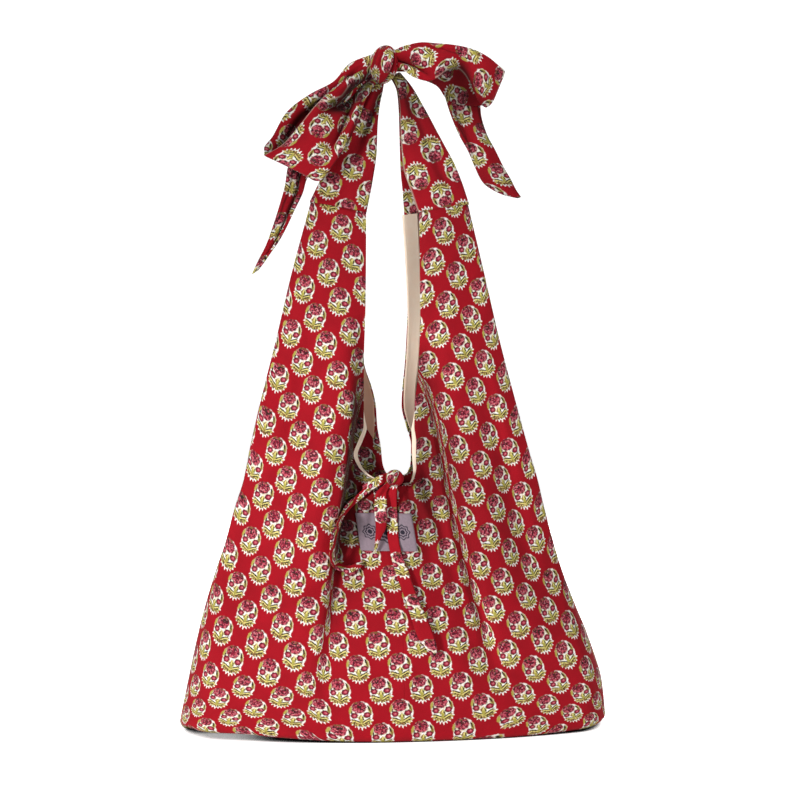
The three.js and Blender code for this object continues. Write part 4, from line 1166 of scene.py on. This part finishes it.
# Small tie at the mouth: both edges of each section and how far they stand off the front.
ribbonColumns = 'aX aZ bX bZ standA standB'
ties = {
    'thick': 1.3, 'clothWidth': 11, 'rows': 90, 'columns': 13, 'endFade': 0.03, 'topZ': 224,
    'endLeft': {
        'start': (3, 7), 'flow': -1, 'flat': (0.012, 0.125),
        'table': sections(ribbonColumns, [
            (-22, 221, -25, 227, 4, 5), (-31, 214, -34, 219, 4, 6), (-42, 204.5, -46, 209, 4, 9),
            (-52, 191, -57, 194, 4, 11), (-57, 179, -63, 181, 4, 11), (-59, 166, -64, 166, 4, 11),
            (-55.5, 157, -59, 152, 4, 10), (-45.5, 154, -46, 148, 4, 9),
            (-32, 158.5, -34, 153, 4, 8)])},
    'endShort': {
        'start': (-5, -31), 'flow': 1, 'flat': (0.01, 0.06),
        'table': sections(ribbonColumns, [
            (-4, 229, -8, 230, 14, 15), (-9.5, 218, -20, 218, 13, 13),
            (-9.5, 203, -21, 203, 11, 11), (-10.5, 190, -20.5, 190, 8, 8),
            (-16.5, 178, -21.5, 178, 6, 8), (-21, 166, -23, 166, 5, 6)])},
    'endLong': {
        'start': (-4, -6), 'flow': -1, 'flat': (0.011, 0.155),
        'table': sections(ribbonColumns, [
            (2, 230, -5, 230, 11, 10), (0, 218, -9.5, 218, 10, 9.5), (0, 200, -10, 200, 5, 4),
            (0, 184, -10, 184, 4, 3), (2, 166, -8, 166, 4, 3), (8, 149, -4, 149, 4, 3),
            (14, 129, 3, 127, 5, 3), (22, 110, 8, 110, 5, 3), (28, 94, 13, 94, 5, 3),
            (31, 80, 25, 78, 5, 4)])},
    'band': {
        'start': (12, 9), 'flow': -1, 'flat': (0.01, 0.033),
        'table': sections(ribbonColumns, [
            (-30, 218.5, -31, 225.5, 4, 4), (-22, 222, -24, 230, 6, 5), (-12, 227, -14, 236, 8, 7),
            (-3, 230, -5, 238, 9, 9)])},
}


def makeRibbon(name, spec, node):
    # Straight across from edge a to edge b, each off the front face by its own distance. Above
    # topZ it stands off the face as it is there. The print runs down the ribbon, or up it where
    # flow is 1.
    table = spec['table']
    t = np.linspace(0, table['last'], ties['rows'])[:, None]
    s = np.linspace(0, 1, ties['columns'])[None, :]
    x = between(table['aX'](t), table['bX'](t), s)
    z = between(table['aZ'](t), table['bZ'](t), s)
    stand = between(table['standA'](t), table['standB'](t), s)
    y = frontDepth(x, np.minimum(z, ties['topZ'])) - stand - ties['thick'] / 2
    points = np.stack([x, y, z], -1)
    across = spec['start'][0] + s * ties['clothWidth']
    along = spec['start'][1] + spec['flow'] * runLength(points)[:, None]
    cloth = np.stack(np.broadcast_arrays(across, along), -1)
    grids = doubled(points, cloth, ties['thick'], ties['endFade'], ties['clothWidth'])
    piece = gridObject(name, grids, printed)
    dress(piece, [node], spec['flat'])


makeRibbon('tie_cloth_end_left', ties['endLeft'], 'tie_end_left')
makeRibbon('tie_cloth_end_short', ties['endShort'], 'tie_end_short')
makeRibbon('tie_cloth_end_long', ties['endLong'], 'tie_end_long')
makeRibbon('tie_cloth_band', ties['band'], 'tie_band')
print('tie made')

# Woven label under the tie, with a plain ornament of three ringed rosettes: each is its place
# and size, and each ring its share of that size and its thread.
label = {
    'left': -38, 'right': 13, 'bottom': 167, 'top': 200.5, 'skew': 4, 'lift': 1.1, 'thick': 0.7,
    'rows': 25, 'columns': 37, 'flat': (0.05, 0.034),
    'tones': ((134, 118, 128), (158, 140, 150)),
    'rosettes': [(-14.5, 0, 6.4), (0, 0, 9.2), (14.5, 0, 6.4)],
    'threads': {'dark': (46, 42, 54), 'pale': (148, 131, 142)},
    'rings': [(1.0, 'dark'), (0.84, 'pale'), (0.66, 'dark'), (0.48, 'pale'), (0.32, 'dark')],
    'ring': {'turn': 0, 'petals': 8, 'depth': 0.1, 'soft': 0.08, 'grain': 0},
}


def paintLabel(tree, cloth):
    colour = mixColour(tree, noise(tree, cloth, 0.5, 5.0)[0], *[ink(*tone) for tone in label['tones']])
    for x, y, half in label['rosettes']:
        for share, thread in label['rings']:
            row = {**label['ring'], 'x': x, 'y': y, 'halfX': half * share, 'halfY': half * share}
            colour = mixColour(tree, inkMask(tree, cloth, row), colour, ink(*label['threads'][thread]))
    return colour


def makeLabel(k):
    # Flat cloth laid over the front at its lift, leaning by skew from bottom to top.
    up = np.linspace(0, 1, k['rows'])[:, None]
    across = np.linspace(0, 1, k['columns'])[None, :]
    x = between(k['left'], k['right'], across) + k['skew'] * (1 - up)
    z = between(k['bottom'], k['top'], up) + 0 * across
    points = np.stack([x, frontDepth(x, z) - k['lift'] - k['thick'], z], -1)
    wide, high = k['right'] - k['left'], k['top'] - k['bottom']
    cloth = np.stack(np.broadcast_arrays((across - 0.5) * wide, (up - 0.5) * high), -1)
    finish = clothMaterial('label cloth', finishes['label'], paintLabel)
    piece = gridObject('label_cloth', [(points, cloth)], finish)
    solidify(piece, k['thick'])
    dress(piece, ['label'], k['flat'])


makeLabel(label)
print('label made')

# Studio: a pale floor, a white surround and soft lamps, in metres and watts. Seen is how
# bright a thing looks, glow how much light it gives. Within the contact distance of the bag the
# floor's colour and glow take a painted contact shadow from its occlusion: full at the open
# share of free sky, and black at the closed share.
studio = {
    'floorSize': 200, 'floorColour': (250, 249, 248), 'floorRough': 0.9, 'floorShine': 0.1,
    'floorSeen': 0.93, 'floorGlow': 0.14, 'surroundSeen': 1.2, 'surroundGlow': 0.12,
    'contact': 0.014, 'closed': 0.14, 'open': 0.36,
    'lamps': [
        # place, aim, size, power, and the angle of its cone, or 0 for a flat lamp
        ((-1.5, -1.3, 0.42), (0, 0, 0.14), 0.2, 142, 35.5),
        ((-0.45, -0.7, 1.6), (0.06, 0, 0.69), 0.12, 33, 24),
        ((1.0, -1.9, 0.5), (0, 0, 0.25), 0.8, 14, 0),
        ((0.3, 1.8, 1.9), (0, 0, 0.35), 1.4, 20, 0),
        ((0.9, 2.2, 0.7), (0, 0, 0.3), 1.0, 42, 0),
    ],
}


def seenOr(tree, seen, glow):
    # One strength for what the eye sees and another for the light that it gives.
    path = addNode(tree, 'ShaderNodeLightPath').outputs['Is Camera Ray']
    return remap(tree, path, 0.0, 1.0, glow, seen)


def makeFloor(s):
    half = s['floorSize'] / 2
    corners = [(-half, -half, 0), (half, -half, 0), (half, half, 0), (-half, half, 0)]
    mesh = bpy.data.meshes.new('floor')
    mesh.from_pydata(corners, [], [(0, 1, 2, 3)])
    floor = bpy.data.objects.new('floor', mesh)
    scene.collection.objects.link(floor)
    pale, tree = emptyMaterial('pale floor')
    # painted contact shadow: the occlusion darkens both the floor's colour and its glow
    sky = addNode(tree, 'ShaderNodeAmbientOcclusion', {'Distance': s['contact']}, samples=24).outputs['AO']
    free = remap(tree, sky, s['closed'], s['open'])
    colour = calcVector(tree, 'MULTIPLY', ink(*s['floorColour'])[:3], free)
    glow = calc(tree, 'MULTIPLY', seenOr(tree, s['floorSeen'], s['floorGlow']), free)
    shader = addNode(tree, 'ShaderNodeBsdfPrincipled',
                     {'Base Color': colour, 'Roughness': s['floorRough'],
                      'Specular IOR Level': s['floorShine'],
                      'Emission Color': (1, 1, 1, 1), 'Emission Strength': glow})
    ending = addNode(tree, 'ShaderNodeOutputMaterial')
    tree.links.new(shader.outputs[0], ending.inputs[0])
    mesh.materials.append(pale)


def makeSurround(s):
    world = bpy.data.worlds.new('surround')
    scene.world = world
    world.use_nodes = True
    tree = world.node_tree
    tree.nodes.clear()
    strength = seenOr(tree, s['surroundSeen'], s['surroundGlow'])
    glow = addNode(tree, 'ShaderNodeBackground', {'Color': (1, 1, 1, 1), 'Strength': strength})
    ending = addNode(tree, 'ShaderNodeOutputWorld')
    tree.links.new(glow.outputs[0], ending.inputs[0])


def makeLamp(name, place, aim, size, power, cone):
    # A lamp shines along its own -z, so that is turned from its place towards its aim.
    data = bpy.data.lights.new(name, 'SPOT' if cone else 'AREA')
    if cone:
        data.spot_size = math.radians(cone)
        data.spot_blend = 1
        data.shadow_soft_size = size
    else:
        data.size = size
    data.energy = power
    lamp = bpy.data.objects.new(name, data)
    lamp.location = place
    x, y, z = np.array(place) - np.array(aim)
    lamp.rotation_euler = (math.atan2(math.hypot(x, y), z), 0, math.atan2(y, x) + math.pi / 2)
    scene.collection.objects.link(lamp)


makeFloor(studio)
makeSurround(studio)
for number, lamp in enumerate(studio['lamps']):
    makeLamp(f'lamp{number}', *lamp)
scene.view_settings.view_transform = 'Standard'
scene.view_settings.look = 'None'
print('studio made')
